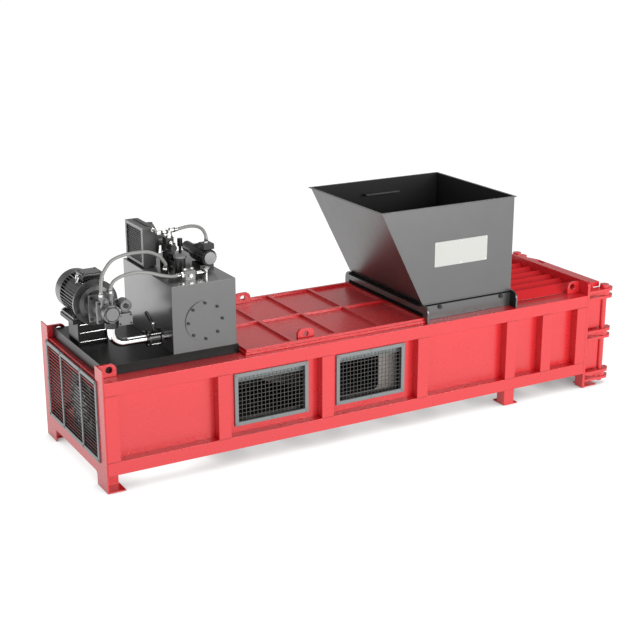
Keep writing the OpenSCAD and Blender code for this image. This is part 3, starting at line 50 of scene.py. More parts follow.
def at(x, y, z):
    """A place given in millimetres from the rear plate, the middle plane and the floor."""
    return Vector(((x - MIDDLE) / 1000, y / 1000, z / 1000))


camera = bpy.data.objects.new("camera", bpy.data.cameras.new("camera"))
camera.data.lens = 74.95
camera.data.sensor_width = 36
camera.location = at(-2933, -8817, 4022)
camera.rotation_euler = Vector((0.47103, 0.82792, -0.30443)).to_track_quat("-Z", "Y").to_euler()
bpy.context.scene.collection.objects.link(camera)
bpy.context.scene.camera = camera

# Studio
# A white floor that glows, with a painted shadow where the machine stands close over it and a painted pool
# of light beyond the grille end, between pale walls and a dim ceiling, with a wide light on the guard side
# and one above. Colours show as they are, with no film curve.
bpy.context.scene.view_settings.view_transform = "Standard"


def linear(hex_colour):
    """A colour written as sRGB hex, as the linear values that a shader takes."""
    channels = [int(hex_colour[i:i + 2], 16) / 255 for i in (1, 3, 5)]
    return [c / 12.92 if c <= 0.04045 else ((c + 0.055) / 1.055) ** 2.4 for c in channels] + [1]


def add_node(tree, kind, inputs=None, **settings):
    """Adds a node, sets its options, and fills each input with a value or a link."""
    made = tree.nodes.new(kind)
    for name, value in settings.items():
        setattr(made, name, value)
    for name, value in (inputs or {}).items():
        if isinstance(value, bpy.types.NodeSocket):
            tree.links.new(value, made.inputs[name])
        else:
            made.inputs[name].default_value = value
    return made


def new_material(name):
    """An empty material with its output and a shader that is linked to it."""
    material = bpy.data.materials.new(name)
    material.use_nodes = True
    shader = material.node_tree.nodes["Principled BSDF"]
    return material, material.node_tree, shader


# Wide enough, in metres, for its edge to stay out of sight
FLOOR_REACH = 150
floor_mesh = bpy.data.meshes.new("studio_floor")
bm = bmesh.new()
bmesh.ops.create_grid(bm, x_segments=1, y_segments=1, size=FLOOR_REACH)
bm.to_mesh(floor_mesh)
bm.free()
studio_floor = bpy.data.objects.new("studio_floor", floor_mesh)
bpy.context.scene.collection.objects.link(studio_floor)
floor_white, tree, shader = new_material("floor_white")
# Painted shadow: the glow fades within 300 mm of the machine, so that it stands in a soft painted shadow of
# its own
SHADOW_REACH = 0.3
near = add_node(tree, "ShaderNodeAmbientOcclusion", {"Distance": SHADOW_REACH}, samples=16)
glow = add_node(tree, "ShaderNodeMapRange", {
    "Value": near.outputs["AO"], "From Min": 0.1, "From Max": 0.68, "To Min": 0.15, "To Max": 1.0})
# Painted pool of light: the floor glows more strongly beyond the grille end, and shines back from the sides
# that face it
floor_place = add_node(tree, "ShaderNodeTexCoord").outputs["Object"]
along = add_node(tree, "ShaderNodeSeparateXYZ", {"Vector": floor_place})
painted_end_light = add_node(tree, "ShaderNodeMapRange", {
    "Value": along.outputs["X"], "From Min": -3.6, "From Max": -2.4, "To Min": 1.65, "To Max": 1.0})
whole_glow = add_node(tree, "ShaderNodeMath", operation="MULTIPLY")
tree.links.new(glow.outputs["Result"], whole_glow.inputs[0])
tree.links.new(painted_end_light.outputs["Result"], whole_glow.inputs[1])
tree.links.new(whole_glow.outputs["Value"], shader.inputs["Emission Strength"])
shader.inputs["Base Color"].default_value = linear("#6E6E6E")
shader.inputs["Roughness"].default_value = 0.9
shader.inputs["Specular IOR Level"].default_value = 0.0
shader.inputs["Emission Color"].default_value = linear("#FFFFFF")
# So wide a glow is found sooner by the rays that leave the machine
floor_white.cycles.emission_sampling = "NONE"
floor_mesh.materials.append(floor_white)

world = bpy.data.worlds.new("studio_sky")
bpy.context.scene.world = world
world.use_nodes = True
# Pale walls up to about 18 degrees above the floor, which fade into a dim ceiling at about 33
tree = world.node_tree
sky_way = add_node(tree, "ShaderNodeTexCoord").outputs["Generated"]
rise = add_node(tree, "ShaderNodeSeparateXYZ", {"Vector": sky_way})
walls = add_node(tree, "ShaderNodeMapRange", {
    "Value": rise.outputs["Z"], "From Min": 0.3, "From Max": 0.55, "To Min": 0.6, "To Max": 0.12})
tree.links.new(walls.outputs["Result"], tree.nodes["Background"].inputs["Strength"])
tree.nodes["Background"].inputs["Color"].default_value = linear("#FFFFFF")


def soft_light(name, place, target, width, height, power):
    """A rectangular studio light that faces a target."""
    lamp = bpy.data.lights.new(name, "AREA")
    lamp.shape = "RECTANGLE"
    lamp.size, lamp.size_y, lamp.energy = width, height, power
    holder = bpy.data.objects.new(name, lamp)
    holder.location = place
    holder.rotation_euler = (target - place).to_track_quat("-Z", "Y").to_euler()
    bpy.context.scene.collection.objects.link(holder)


soft_light("front_light", at(4400, -9300, 3400), at(2300, 0, 500), 10, 4, 960)
soft_light("top_light", at(2300, 2500, 9500), at(2300, 0, 800), 8, 6, 420)

# Hoses
# Three grey pressure hoses with a smooth rubber cover over a wire braid, 25 mm thick, each crimped into a
# steel end: two from the pump to the tank's lid, and one from the valve stack to the small pump.
HOSE_D = 0.025
STEPS_PER_POINT = 6
HOSE_ROUTES = {
    "pressure_hose": [
        (145, -320, 1345), (145, -320, 1372), (145, -320, 1400), (152, -316, 1460), (176, -310, 1520),
        (240, -296, 1585), (330, -276, 1608), (440, -250, 1608), (545, -226, 1594), (630, -206, 1552),
        (678, -190, 1500), (695, -182, 1470), (695, -182, 1452), (695, -182, 1435)],
    "control_hose": [
        (215, -330, 1365), (215, -330, 1382), (215, -330, 1400), (228, -330, 1436), (262, -332, 1462),
        (322, -335, 1482), (410, -338, 1490), (506, -345, 1473), (578, -352, 1449), (650, -364, 1432),
        (695, -366, 1430), (715, -366, 1430), (735, -366, 1430)],
    "cooler_hose": [
        (815, -60, 1690), (835, -60, 1690), (860, -60, 1691), (925, -76, 1704), (980, -104, 1704),
        (1012, -136, 1686), (1026, -160, 1650), (1028, -168, 1620), (1028, -168, 1604), (1028, -168, 1588)],
}


def smooth_route(points, steps):
    """Points on one smooth curve through the route's own points."""
    made = []
    for i in range(len(points) - 1):
        a, b = points[max(i - 1, 0)], points[i]
        c, d = points[i + 1], points[min(i + 2, len(points) - 1)]
        for k in range(steps):
            t = k / steps
            made.append((2 * b + (c - a) * t + (2 * a - 5 * b + 4 * c - d) * t ** 2
                         + (3 * b - a - 3 * c + d) * t ** 3) / 2)
    return made + [points[-1]]


# Nitrile rubber, extruded: a dull sheen, with the braid below showing as a faint 3 mm weave
hose_rubber, tree, shader = new_material("hose_rubber")
place = add_node(tree, "ShaderNodeTexCoord").outputs["Object"]
weave = add_node(tree, "ShaderNodeTexVoronoi", {"Vector": place, "Scale": 1 / 0.003})
tint = add_node(tree, "ShaderNodeValToRGB", {"Fac": weave.outputs["Distance"]})
tint.color_ramp.elements[0].color = linear("#8E8E8B")
tint.color_ramp.elements[1].color = linear("#7C7C7A")
raised = add_node(tree, "ShaderNodeBump",
                  {"Height": weave.outputs["Distance"], "Strength": 0.2, "Distance": 0.0006})
tree.links.new(tint.outputs["Color"], shader.inputs["Base Color"])
tree.links.new(raised.outputs["Normal"], shader.inputs["Normal"])
shader.inputs["Roughness"].default_value = 0.38

for name, route in HOSE_ROUTES.items():
    path = smooth_route([at(*p) for p in route], STEPS_PER_POINT)
    curve = bpy.data.curves.new(name + "_cover", "CURVE")
    curve.dimensions = "3D"
    curve.bevel_depth = HOSE_D / 2
    curve.bevel_resolution = 5
    curve.use_fill_caps = True
    spline = curve.splines.new("POLY")
    spline.points.add(len(path) - 1)
    for point, p in zip(spline.points, path):
        point.co = (*p, 1)
    spline.use_smooth = True
    hose = bpy.data.objects.new(name + "_cover", curve)
    bpy.context.scene.collection.objects.link(hose)
    curve.materials.append(hose_rubber)
    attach(hose, "frame")
    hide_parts(name)
    length = sum((b - a).length for a, b in zip(path, path[1:]))


def turned(bm, profile, foot, axis, steps=24):
    """Spins a profile of (height, radius) pairs, in metres, about an axis that starts at a foot point."""
    axis = Vector(axis).normalized()
    side = axis.orthogonal().normalized()
    start = len(bm.verts)
    rim = [bm.verts.new(foot + axis * h + side * r) for h, r in profile]
    line = [bm.edges.new(pair) for pair in zip(rim, rim[1:])]
    bmesh.ops.spin(bm, geom=rim + line, cent=foot, axis=axis, angle=2 * pi, steps=steps, use_merge=True)
    bm.verts.ensure_lookup_table()
    bmesh.ops.remove_doubles(bm, verts=bm.verts[start:], dist=0.00001)
    bm.verts.ensure_lookup_table()
    bmesh.ops.recalc_face_normals(bm, faces=list({f for v in bm.verts[start:] for f in v.link_faces}))


def hex_head(bm, foot, axis, across, height):
    """A hexagon bolt head or nut that stands on a face, a little narrower at its top."""
    axis = Vector(axis).normalized()
    turn = Vector((0, 0, 1)).rotation_difference(axis).to_matrix().to_4x4()
    bmesh.ops.create_cone(bm, cap_ends=True, segments=6, radius1=across / 3 ** 0.5,
                          radius2=0.93 * across / 3 ** 0.5, depth=height,
                          matrix=Matrix.Translation(foot + axis * height / 2) @ turn)


def keep_piece(name, bm, material, body, smooth_deg=35):
    """Closes a bmesh as a piece that rides on a body, with its round faces smooth and its edges crisp."""
    mesh = bpy.data.meshes.new(name)
    bm.to_mesh(mesh)
    bm.free()
    mesh.polygons.foreach_set("use_smooth", [True] * len(mesh.polygons))
    mesh.set_sharp_from_angle(angle=radians(smooth_deg))
    mesh.materials.append(material)
    piece = bpy.data.objects.new(name, mesh)
    bpy.context.scene.collection.objects.link(piece)
    # Large flat faces keep their own normal, so that only the rounded edges between them shade over
    even = piece.modifiers.new("even_shading", "WEIGHTED_NORMAL")
    even.keep_sharp = True
    even.weight = 100
    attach(piece, body)
    return piece


# Zinc plate on turned steel: bright, with a faint cloud in its shine
zinc_plate, tree, shader = new_material("zinc_plate")
place = add_node(tree, "ShaderNodeTexCoord").outputs["Object"]
# Clouds about 12 mm across, from the plating bath
cloud = add_node(tree, "ShaderNodeTexNoise", {"Vector": place, "Scale": 1 / 0.012, "Detail": 3})
shine = add_node(tree, "ShaderNodeMapRange", {"Value": cloud.outputs["Fac"], "To Min": 0.1, "To Max": 0.3})
tree.links.new(shine.outputs["Result"], shader.inputs["Roughness"])
shader.inputs["Base Color"].default_value = linear("#D9D9D6")
shader.inputs["Metallic"].default_value = 1.0

# Each end: a swivel nut, a collar, and a crimped shell with three rolled rings
NUT_ACROSS, NUT_HEIGHT = 0.036, 0.012
CRIMPED_SHELL = [
    (NUT_HEIGHT, HOSE_D / 2), (NUT_HEIGHT, 0.016), (0.016, 0.0165), (0.018, 0.015), (0.021, 0.0165),
    (0.023, 0.015), (0.026, 0.0165), (0.029, 0.015), (0.032, 0.0155), (0.033, HOSE_D / 2)]
bm = bmesh.new()
for route in HOSE_ROUTES.values():
    for end, inner in ((route[0], route[1]), (route[-1], route[-2])):
        foot, axis = at(*end), (at(*inner) - at(*end)).normalized()
        hex_head(bm, foot, axis, NUT_ACROSS, NUT_HEIGHT)
        turned(bm, CRIMPED_SHELL, foot, axis)
keep_piece("hose_ends", bm, zinc_plate, "frame")

# Welded frame
# Rectangular hollow section, 100 by 150 mm, with rounded corners, cut square and welded into two ladder
# sides, tied by cross tubes and closed by recessed sheet panels, all sprayed in one red enamel.


def sprayed_enamel(name, colour, shade, roughness, coat, flake=0.0, gloss=0.5):
    """Two-pack enamel on steel: gloss, faint orange peel, slow drifts in tone, and metal flake if any."""
    material, tree, shader = new_material(name)
    place = add_node(tree, "ShaderNodeTexCoord").outputs["Object"]
    # Drifts of tone about 350 mm across, from uneven passes of the spray gun
    drift = add_node(tree, "ShaderNodeTexNoise", {"Vector": place, "Scale": 1 / 0.35, "Detail": 3})
    tone = add_node(tree, "ShaderNodeMix", {"Factor": drift.outputs["Fac"]}, data_type="RGBA")
    tone.inputs["A"].default_value = linear(shade)
    tone.inputs["B"].default_value = linear(colour)
    tree.links.new(tone.outputs["Result"], shader.inputs["Base Color"])
    # Dust and wiping that dull the gloss, about 90 mm across
    smear = add_node(tree, "ShaderNodeTexNoise", {"Vector": place, "Scale": 1 / 0.09, "Detail": 4})
    shine = add_node(tree, "ShaderNodeMapRange", {
        "Value": smear.outputs["Fac"], "From Min": 0.3, "From Max": 0.7,
        "To Min": roughness * 0.95, "To Max": roughness * 1.05})
    tree.links.new(shine.outputs["Result"], shader.inputs["Roughness"])
    # Orange peel is 2 to 4 mm across; 5 mm here, so that it shows
    peel = add_node(tree, "ShaderNodeTexNoise", {"Vector": place, "Scale": 1 / 0.005, "Detail": 1})
    skin = add_node(tree, "ShaderNodeBump",
                    {"Height": peel.outputs["Fac"], "Strength": 0.002, "Distance": 0.0006})
    tree.links.new(skin.outputs["Normal"], shader.inputs["Normal"])
    shader.inputs["Metallic"].default_value = flake
    shader.inputs["Specular IOR Level"].default_value = gloss
    shader.inputs["Coat Weight"].default_value = coat
    shader.inputs["Coat Roughness"].default_value = 0.18
    return material


def ease(bm, width, segments):
    """Rounds every edge of a bmesh at which the faces turn by more than 40 degrees."""
    sharp = [e for e in bm.edges if len(e.link_faces) == 2 and e.calc_face_angle() > radians(40)]
    bmesh.ops.bevel(bm, geom=sharp, offset=width, offset_type="OFFSET", segments=segments, profile=0.5,
                    affect="EDGES", material=-1, clamp_overlap=True)


def finished(node, width, material, body, segments=2):
    """A copy of a solid with its flat faces joined and its edges rounded, which takes the solid's place."""
    bm = bmesh.new()
    bm.from_mesh(nodes[node].data)
    bmesh.ops.remove_doubles(bm, verts=bm.verts, dist=0.00002)
    bmesh.ops.dissolve_limit(bm, angle_limit=radians(0.6), verts=bm.verts, edges=bm.edges)
    ease(bm, width, segments)
    piece = keep_piece(node + "_finished", bm, material, body)
    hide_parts(node)
    return piece


red_enamel = sprayed_enamel("red_enamel", "#CA1F26", "#C21C22", 0.28, 0.0, gloss=0.95)
for node in ("side_rails", "side_posts", "cross_rails"):
    finished(node, 0.007, red_enamel, "frame", 3)
for node in ("near_side_panels", "far_side_panels", "roof_plate", "roof_beams"):
    finished(node, 0.002, red_enamel, "frame")

# Butt welds between posts and rails, painted over: a row of flat beads 8 mm wide on each outer face, in a
# darker red that is painted shade for the shadow lines at the joints
weld_shade_red = sprayed_enamel("weld_shade_red", "#A8101A", "#980E16", 0.4, 0.4)
POST_PLACES = (10, 872, 1734, 2596, 3458, 3824, 4190)
SIDE_FACES = (-650, 650)
RAIL_EDGES = (230, 725)
BEADS, BEAD_STEP, WELD_INSET = 17, 5.5, 6
BEAD_FORM = Matrix.Diagonal((0.0042, 0.0016, 0.004, 1))
bm = bmesh.new()
for x in POST_PLACES:
    for y in SIDE_FACES:
        for z in RAIL_EDGES:
            for k in range(BEADS):
                bead = Matrix.Translation(at(x + WELD_INSET + k * BEAD_STEP, y, z)) @ BEAD_FORM
                bmesh.ops.create_icosphere(bm, subdivisions=1, radius=1, matrix=bead)
keep_piece("frame_welds", bm, weld_shade_red, "frame", 80)

# Chamber plates
# Wear plates that the bale and the ram rub against: hot rolled steel, scuffed bright by use and bolted to
# the frame inside. The fixed knife under the roof, at the feed opening's front edge, is ground bright.


def rolled_steel(name, colour, roughness, streak):
    """Bare rolled steel: long scuffs along the machine, with mill scale left in patches."""
    material, tree, shader = new_material(name)
    place = add_node(tree, "ShaderNodeTexCoord").outputs["Object"]
    stretched = add_node(tree, "ShaderNodeMapping", {"Vector": place, "Scale": (0.04, 1, 1)})
    # Scuffs are about 6 mm wide and 150 mm long
    scuff = add_node(tree, "ShaderNodeTexNoise",
                     {"Vector": stretched.outputs["Vector"], "Scale": 1 / 0.006, "Detail": 4})
    patch = add_node(tree, "ShaderNodeTexNoise", {"Vector": place, "Scale": 1 / 0.18, "Detail": 6})
    tone = add_node(tree, "ShaderNodeValToRGB", {"Fac": patch.outputs["Fac"]})
    tone.color_ramp.elements[0].position, tone.color_ramp.elements[1].position = 0.35, 0.7
    tone.color_ramp.elements[0].color = linear(streak)
    tone.color_ramp.elements[1].color = linear(colour)
    shine = add_node(tree, "ShaderNodeMapRange", {
        "Value": scuff.outputs["Fac"], "From Min": 0.3, "From Max": 0.7,
        "To Min": roughness * 0.75, "To Max": roughness * 1.3})
    groove = add_node(tree, "ShaderNodeBump",
                      {"Height": scuff.outputs["Fac"], "Strength": 0.15, "Distance": 0.0005})
    tree.links.new(tone.outputs["Color"], shader.inputs["Base Color"])
    tree.links.new(shine.outputs["Result"], shader.inputs["Roughness"])
    tree.links.new(groove.outputs["Normal"], shader.inputs["Normal"])
    shader.inputs["Metallic"].default_value = 1.0
    return material


wear_plate = rolled_steel("wear_plate", "#8C8A88", 0.42, "#4A4644")
knife_steel = rolled_steel("knife_steel", "#C9C9C8", 0.24, "#9C9C9A")
for node in ("side_liners", "chamber_floor", "ram_guides"):
    finished(node, 0.002, wear_plate, "frame")
finished("fixed_knife", 0.001, knife_steel, "frame")

# End plates, feet and lifting lugs
# Flame-cut plate: the rear plate is an open arch, the front one frames the bale's way out. The lugs are
# 25 mm plates with a shackle hole, and the feet are flat plates with a web.
for node in ("rear_end_plate", "front_end_plate", "base_feet", "end_lugs", "cover_lugs"):
    finished(node, 0.003, red_enamel, "frame")

# Rear grille
# A flat bar frame with two uprights over level slats, screwed on the rear plate so that air reaches the
# cylinder's end. Powder coat gives it a dull, slightly pebbled grey.


def powder_coat(name, colour, roughness):
    """Baked powder coat: even colour, a fine pebble and little gloss."""
    material, tree, shader = new_material(name)
    place = add_node(tree, "ShaderNodeTexCoord").outputs["Object"]
    # The pebble is about 1 mm across; 4 mm here, so that it shows
    pebble = add_node(tree, "ShaderNodeTexNoise", {"Vector": place, "Scale": 1 / 0.004, "Detail": 2})
    tone = add_node(tree, "ShaderNodeHueSaturation", {"Color": linear(colour)})
    value = add_node(tree, "ShaderNodeMapRange",
                     {"Value": pebble.outputs["Fac"], "To Min": 0.9, "To Max": 1.1})
    tree.links.new(value.outputs["Result"], tone.inputs["Value"])
    tree.links.new(tone.outputs["Color"], shader.inputs["Base Color"])
    skin = add_node(tree, "ShaderNodeBump",
                    {"Height": pebble.outputs["Fac"], "Strength": 0.12, "Distance": 0.0006})
    tree.links.new(skin.outputs["Normal"], shader.inputs["Normal"])
    shader.inputs["Roughness"].default_value = roughness
    return material


PAN_HEAD = [(0, 0.0085), (0.0025, 0.0085), (0.0045, 0.0065), (0.0052, 0.003), (0.0052, 0)]
grille_grey = powder_coat("grille_grey", "#747A7A", 0.38)
slat_grey = powder_coat("slat_grey", "#4A4644", 0.45)
finished("rear_grille_frame", 0.0015, grille_grey, "frame")
finished("rear_grille_slats", 0.0005, slat_grey, "frame")
GRILLE_FACE = -10
bm = bmesh.new()
for y in (-519, -207, 207, 519):
    for z in (211, 502, 793):
        turned(bm, PAN_HEAD, at(GRILLE_FACE, y, z), (-1, 0, 0), 16)
keep_piece("grille_screws", bm, grille_grey, "frame")

# Window guards
# Powder-coated angle frames screwed over two holes in the near side, each with welded wire mesh behind it,
# so that the ram can be watched with the guard shut.
GUARD_PLACES = (1032, 1894)
GUARD_FACE, GUARD_FOOT = -590, 283


def slab(bm, low, high, width, segments=2):
    """A block between two corners with rounded edges."""
    made = bmesh.ops.create_cube(
        bm, size=1, matrix=Matrix.Translation((low + high) / 2) @ Matrix.Diagonal((*(high - low), 1)))
    bmesh.ops.bevel(bm, geom=list({e for v in made["verts"] for e in v.link_edges}), offset=width,
                    offset_type="OFFSET", segments=segments, profile=0.5, affect="EDGES", material=-1)


wire_grey = powder_coat("wire_grey", "#454443", 0.4)
finished("guard_frames", 0.0025, grille_grey, "frame")
finished("guard_meshes", 0.0008, wire_grey, "frame")
bm = bmesh.new()
for x in GUARD_PLACES:
    for dx in (15, 309, 603):
        for dz in (15, 393):
            turned(bm, PAN_HEAD, at(x + dx, GUARD_FACE, GUARD_FOOT + dz), (0, -1, 0), 16)
keep_piece("guard_screws", bm, grille_grey, "frame")
# Strip along the top of both holes, welded between the posts
bm = bmesh.new()
slab(bm, at(985, -537.5, 606), at(2640, -527, 661), 0.0015)
keep_piece("hole_strip", bm, grille_grey, "frame")

# Main cylinder
# A honed steel tube with a bolted cap and gland, sprayed black and held in a cradle plate, and a
# hard-chromed rod that drives the ram through an eye and pin.
cylinder_black = sprayed_enamel("cylinder_black", "#2B2B2C", "#222223", 0.35, 0.3)
# Hard chrome on ground steel: close to a mirror, broken by faint marks of the grinding wheel
hard_chrome, tree, shader = new_material("hard_chrome")
place = add_node(tree, "ShaderNodeTexCoord").outputs["Object"]
# The marks are far finer; 2 mm here, so that they show
ground = add_node(tree, "ShaderNodeTexNoise", {"Vector": place, "Scale": 1 / 0.002, "Detail": 2})
shine = add_node(tree, "ShaderNodeMapRange",
                 {"Value": ground.outputs["Fac"], "To Min": 0.06, "To Max": 0.18})
tree.links.new(shine.outputs["Result"], shader.inputs["Roughness"])
shader.inputs["Base Color"].default_value = linear("#E4E4E4")
shader.inputs["Metallic"].default_value = 1.0
for node in ("cylinder_mount", "cylinder_barrel"):
    finished(node, 0.0015, cylinder_black, "frame")
# The cap and its bolts are in a lighter grey primer, which shows through the grille
cap_grey = sprayed_enamel("cap_grey", "#8A8A8A", "#7C7C7C", 0.35, 0.0, gloss=0.7)
for node in ("cylinder_cap", "cap_bolts"):
    finished(node, 0.0015, cap_grey, "frame")
finished("cylinder_gland", 0.0015, wear_plate, "frame")
finished("piston_rod", 0.0015, hard_chrome, "ram")

# Ram
# A welded box in pale grey enamel with a thick face plate, a shear knife along its top edge, and wear shoes
# below. Only its face is scraped bare by the bale.


def paint_where(piece, material, test):
    """Gives another finish to the faces whose middle, in millimetres from the rear plate, passes a test."""
    piece.data.materials.append(material)
    for face in piece.data.polygons:
        x, y, z = face.center * 1000
        if test(x + MIDDLE, y, z, face.normal):
            face.material_index = len(piece.data.materials) - 1


ram_pale = sprayed_enamel("ram_pale", "#8C8782", "#827D78", 0.5, 0.0)
ram_grey = rolled_steel("ram_grey", "#9A9590", 0.4, "#6A6460")
finished("rod_eye", 0.003, ram_pale, "ram")
finished("rod_pin", 0.002, knife_steel, "ram")
box = finished("ram_box", 0.002, ram_pale, "ram")
# Painted shade: the front room of the box, behind its near side, is painted black
ROOM_BACK, ROOM_HALF = 1890, 465
paint_where(box, cylinder_black, lambda x, y, z, n: x > ROOM_BACK and abs(y) < ROOM_HALF)
# Stiffening plate beside the box's near post
bm = bmesh.new()
slab(bm, at(2440, -471.8, 298), at(2530, -455, 616), 0.002)
keep_piece("ram_stiffener", bm, ram_pale, "ram")
finished("ram_face", 0.002, ram_grey, "ram")
finished("ram_knife", 0.001, knife_steel, "ram")
finished("ram_shoes", 0.001, knife_steel, "ram")

# Door, hinge and lock
# The door is a ribbed box of flame-cut plate on long pins through pairs of clevis plates; two claws on the
# far pin swing over it.
for node in ("door_clevises", "hinge_pins"):
    finished(node, 0.0025, red_enamel, "frame")
finished("door", 0.0025, red_enamel, "door_leaf")
finished("lock_claws", 0.0025, red_enamel, "lock")
# Edge plates on the door beside the pin, one between each two clevises
bm = bmesh.new()
for low, high in ((142, 410), (510, 761)):
    slab(bm, at(4330, -600, low), at(4483, -559, high), 0.003)
keep_piece("door_edge_plates", bm, red_enamel, "door_leaf")

# Deck cover
# A stepped lid of bent sheet with a grid of flat ribs welded on, in the frame's red enamel. It is lifted
# off by its two lugs to reach the ram.
finished("deck_cover", 0.003, red_enamel, "frame")

# Feed hopper
# Bent and welded sheet on a bolted base, sprayed in a smooth dark grey outside that mirrors the deck below
# it, and painted black inside as painted shade. A bare white enamelled plate is riveted on the near wall.
hopper_grey = sprayed_enamel("hopper_grey", "#6D6D6D", "#696969", 0.34, 0.1, 0.85)
painted_shade_black = powder_coat("painted_shade_black", "#060606", 0.7)
finished("hopper_ledge", 0.002, hopper_grey, "frame")
base = finished("hopper_base", 0.002, hopper_grey, "frame")
# Painted shade: the base's inner floor and the inner face of its front wall are painted black
BASE_FLOOR, BASE_FRONT = 930, 3400
paint_where(base, painted_shade_black,
            lambda x, y, z, n: n.z > 0.7 and z < BASE_FLOOR or n.x < -0.7 and x > BASE_FRONT)
hopper = finished("hopper", 0.0015, hopper_grey, "frame")
# Painted shade: its inner faces, which look towards the middle of the hopper's room, are painted black; the
# rim on top stays grey
ROOM_MIDDLE, RIM_TOP, LOOKS_IN = Vector((3125, 0, 1350)), 1732, 60
paint_where(hopper, painted_shade_black,
            lambda x, y, z, n: z < RIM_TOP and n.dot(ROOM_MIDDLE - Vector((x, y, z))) > LOOKS_IN)
# Painted shade, given as black sealing rubber: a strip between the base and the lid, and a bead along the
# hopper's rear and side foot, set in their shadow lines
shadow_seal_black = powder_coat("shadow_seal_black", "#090909", 0.8)
shadow_seal_black.node_tree.nodes["Principled BSDF"].inputs["Specular IOR Level"].default_value = 0.15
SEAL_MIDDLE, SEAL_HALF = 546.5, 2.5
bm = bmesh.new()
slab(bm, at(2685, -560, 838), at(2691, 560, 892), 0.002)
slab(bm, at(2668, -540, 943), at(2692, 540, 964), 0.007)
for side in (-1, 1):
    middle = side * SEAL_MIDDLE
    slab(bm, at(2706, middle - SEAL_HALF, 938), at(3549, middle + SEAL_HALF, 952), 0.002)
keep_piece("hopper_shadow_seals", bm, shadow_seal_black, "frame")
bolt_black = powder_coat("bolt_black", "#161616", 0.35)
finished("hopper_bolts", 0.0015, bolt_black, "frame")
plate_white = powder_coat("plate_white", "#B2B2AE", 0.3)
PLATE_FACE, PLATE_BACK = -549, -545
RIVET_HEAD = [(0, 0.005), (0.0012, 0.0048), (0.0026, 0.003), (0.003, 0)]
bm = bmesh.new()
slab(bm, at(2799, PLATE_FACE, 1248), at(3301, PLATE_BACK, 1447), 0.0012)
keep_piece("bare_plate", bm, plate_white, "frame")
bm = bmesh.new()
for x in (2811, 3050, 3289):
    for z in (1260, 1435):
        turned(bm, RIVET_HEAD, at(x, PLATE_FACE, z), (0, -1, 0), 12)
keep_piece("plate_rivets", bm, zinc_plate, "frame")

# Power pack base and tank
# A shallow tray of bent sheet, sprayed black, carries the welded oil tank in grey enamel. The tank has a
# round clean-out cover on its near side, held by eight black bolts.
tray_black = sprayed_enamel("tray_black", "#080808", "#060606", 0.3, 0.0, gloss=0.3)
tank_grey = sprayed_enamel("tank_grey", "#6A6A6A", "#666666", 0.32, 0.6, 0.85)
finished("pack_tray", 0.002, tray_black, "frame")
finished("oil_tank", 0.003, tank_grey, "frame")
cover = finished("cleanout_cover", 0.0015, tank_grey, "frame")
COVER_FACE = -518.5
paint_where(cover, bolt_black, lambda x, y, z, n: y < COVER_FACE)

# Electric motor
# A foot and flange motor with a ribbed cast body, a sheet cowl over its fan, a terminal box on top and a
# chromed lifting eye. Its feet stand on two plate webs.
MOTOR_X, MOTOR_Z = 187, 1233
EYE_X, EYE_Y, EYE_Z, EYE_R, EYE_HALF, EYE_FOOT = 112, 70, 1388, 30, 8, 1362
FLANGE_BACK = -58
motor_black = sprayed_enamel("motor_black", "#1B1B1C", "#161617", 0.34, 0.5)
flange_iron = sprayed_enamel("flange_iron", "#252526", "#202021", 0.32, 0.6)
finished("motor_stand", 0.002, tray_black, "frame")
motor = finished("motor_housing", 0.001, motor_black, "frame")
paint_where(motor, hard_chrome,
            lambda x, y, z, n: ((y - EYE_Y) ** 2 + (z - EYE_Z) ** 2 < EYE_R ** 2
                                and abs(x - EYE_X) < EYE_HALF and z > EYE_FOOT))
paint_where(motor, flange_iron, lambda x, y, z, n: y < FLANGE_BACK)
finished("motor_cowl", 0.002, motor_black, "frame")
finished("motor_rotor", 0.001, knife_steel, "rotor")
# Lid of the terminal box with its screws, and a gland for the cable
LID_TOP = 1434
GLAND_FOOT = at(281.5, 70, 1360)
bm = bmesh.new()
slab(bm, at(124.5, -4, 1394), at(285.5, 144, LID_TOP), 0.014, 4)
for x in (146, 264):
    for y in (18, 122):
        turned(bm, PAN_HEAD, at(x, y, LID_TOP - 1), (0, 0, 1), 14)
hex_head(bm, GLAND_FOOT, (1, 0, 0), 0.034, 0.012)
turned(bm, [(0.012, 0.014), (0.024, 0.014), (0.028, 0.011), (0.028, 0.0)], GLAND_FOOT, (1, 0, 0), 20)
keep_piece("terminal_lid", bm, motor_black, "frame")
# Front plate of the motor stand, between its webs, and three bright tie rods in front of it
WEB_LEFT, WEB_RIGHT = 88, 286
tie_length = (WEB_RIGHT - WEB_LEFT) / 1000
bm = bmesh.new()
slab(bm, at(WEB_LEFT, 24, 895), at(WEB_RIGHT, 30, 1088), 0.002)
keep_piece("stand_front", bm, tray_black, "frame")
bm = bmesh.new()
for z, r in ((920, 0.006), (990, 0.008), (1052, 0.012)):
    turned(bm, [(0, 0.0), (0, r), (tie_length, r), (tie_length, 0.0)],
           at(WEB_LEFT, 22 - r * 1000, z), (1, 0, 0), 20)
keep_piece("stand_ties", bm, zinc_plate, "frame")
# Collar under the lifting eye
bm = bmesh.new()
turned(bm, [(0, 0.017), (0.008, 0.017), (0.012, 0.011), (0.02, 0.009), (0.02, 0.0)],
       at(EYE_X, EYE_Y, 1352), (0, 0, 1), 24)
keep_piece("eye_collar", bm, hard_chrome, "frame")
# Flange bolts and foot bolts
FLANGE_RING, FLANGE_FACE = 148, -80
bm = bmesh.new()
for k in range(8):
    turn = (k + 0.5) * pi / 4
    hex_head(bm, at(MOTOR_X + FLANGE_RING * cos(turn), FLANGE_FACE, MOTOR_Z + FLANGE_RING * sin(turn)),
             (0, -1, 0), 0.019, 0.009)
for x in (45, 329):
    for y in (-20, 190):
        hex_head(bm, at(x, y, 1132), (0, 0, 1), 0.024, 0.012)
keep_piece("motor_bolts", bm, bolt_black, "frame")

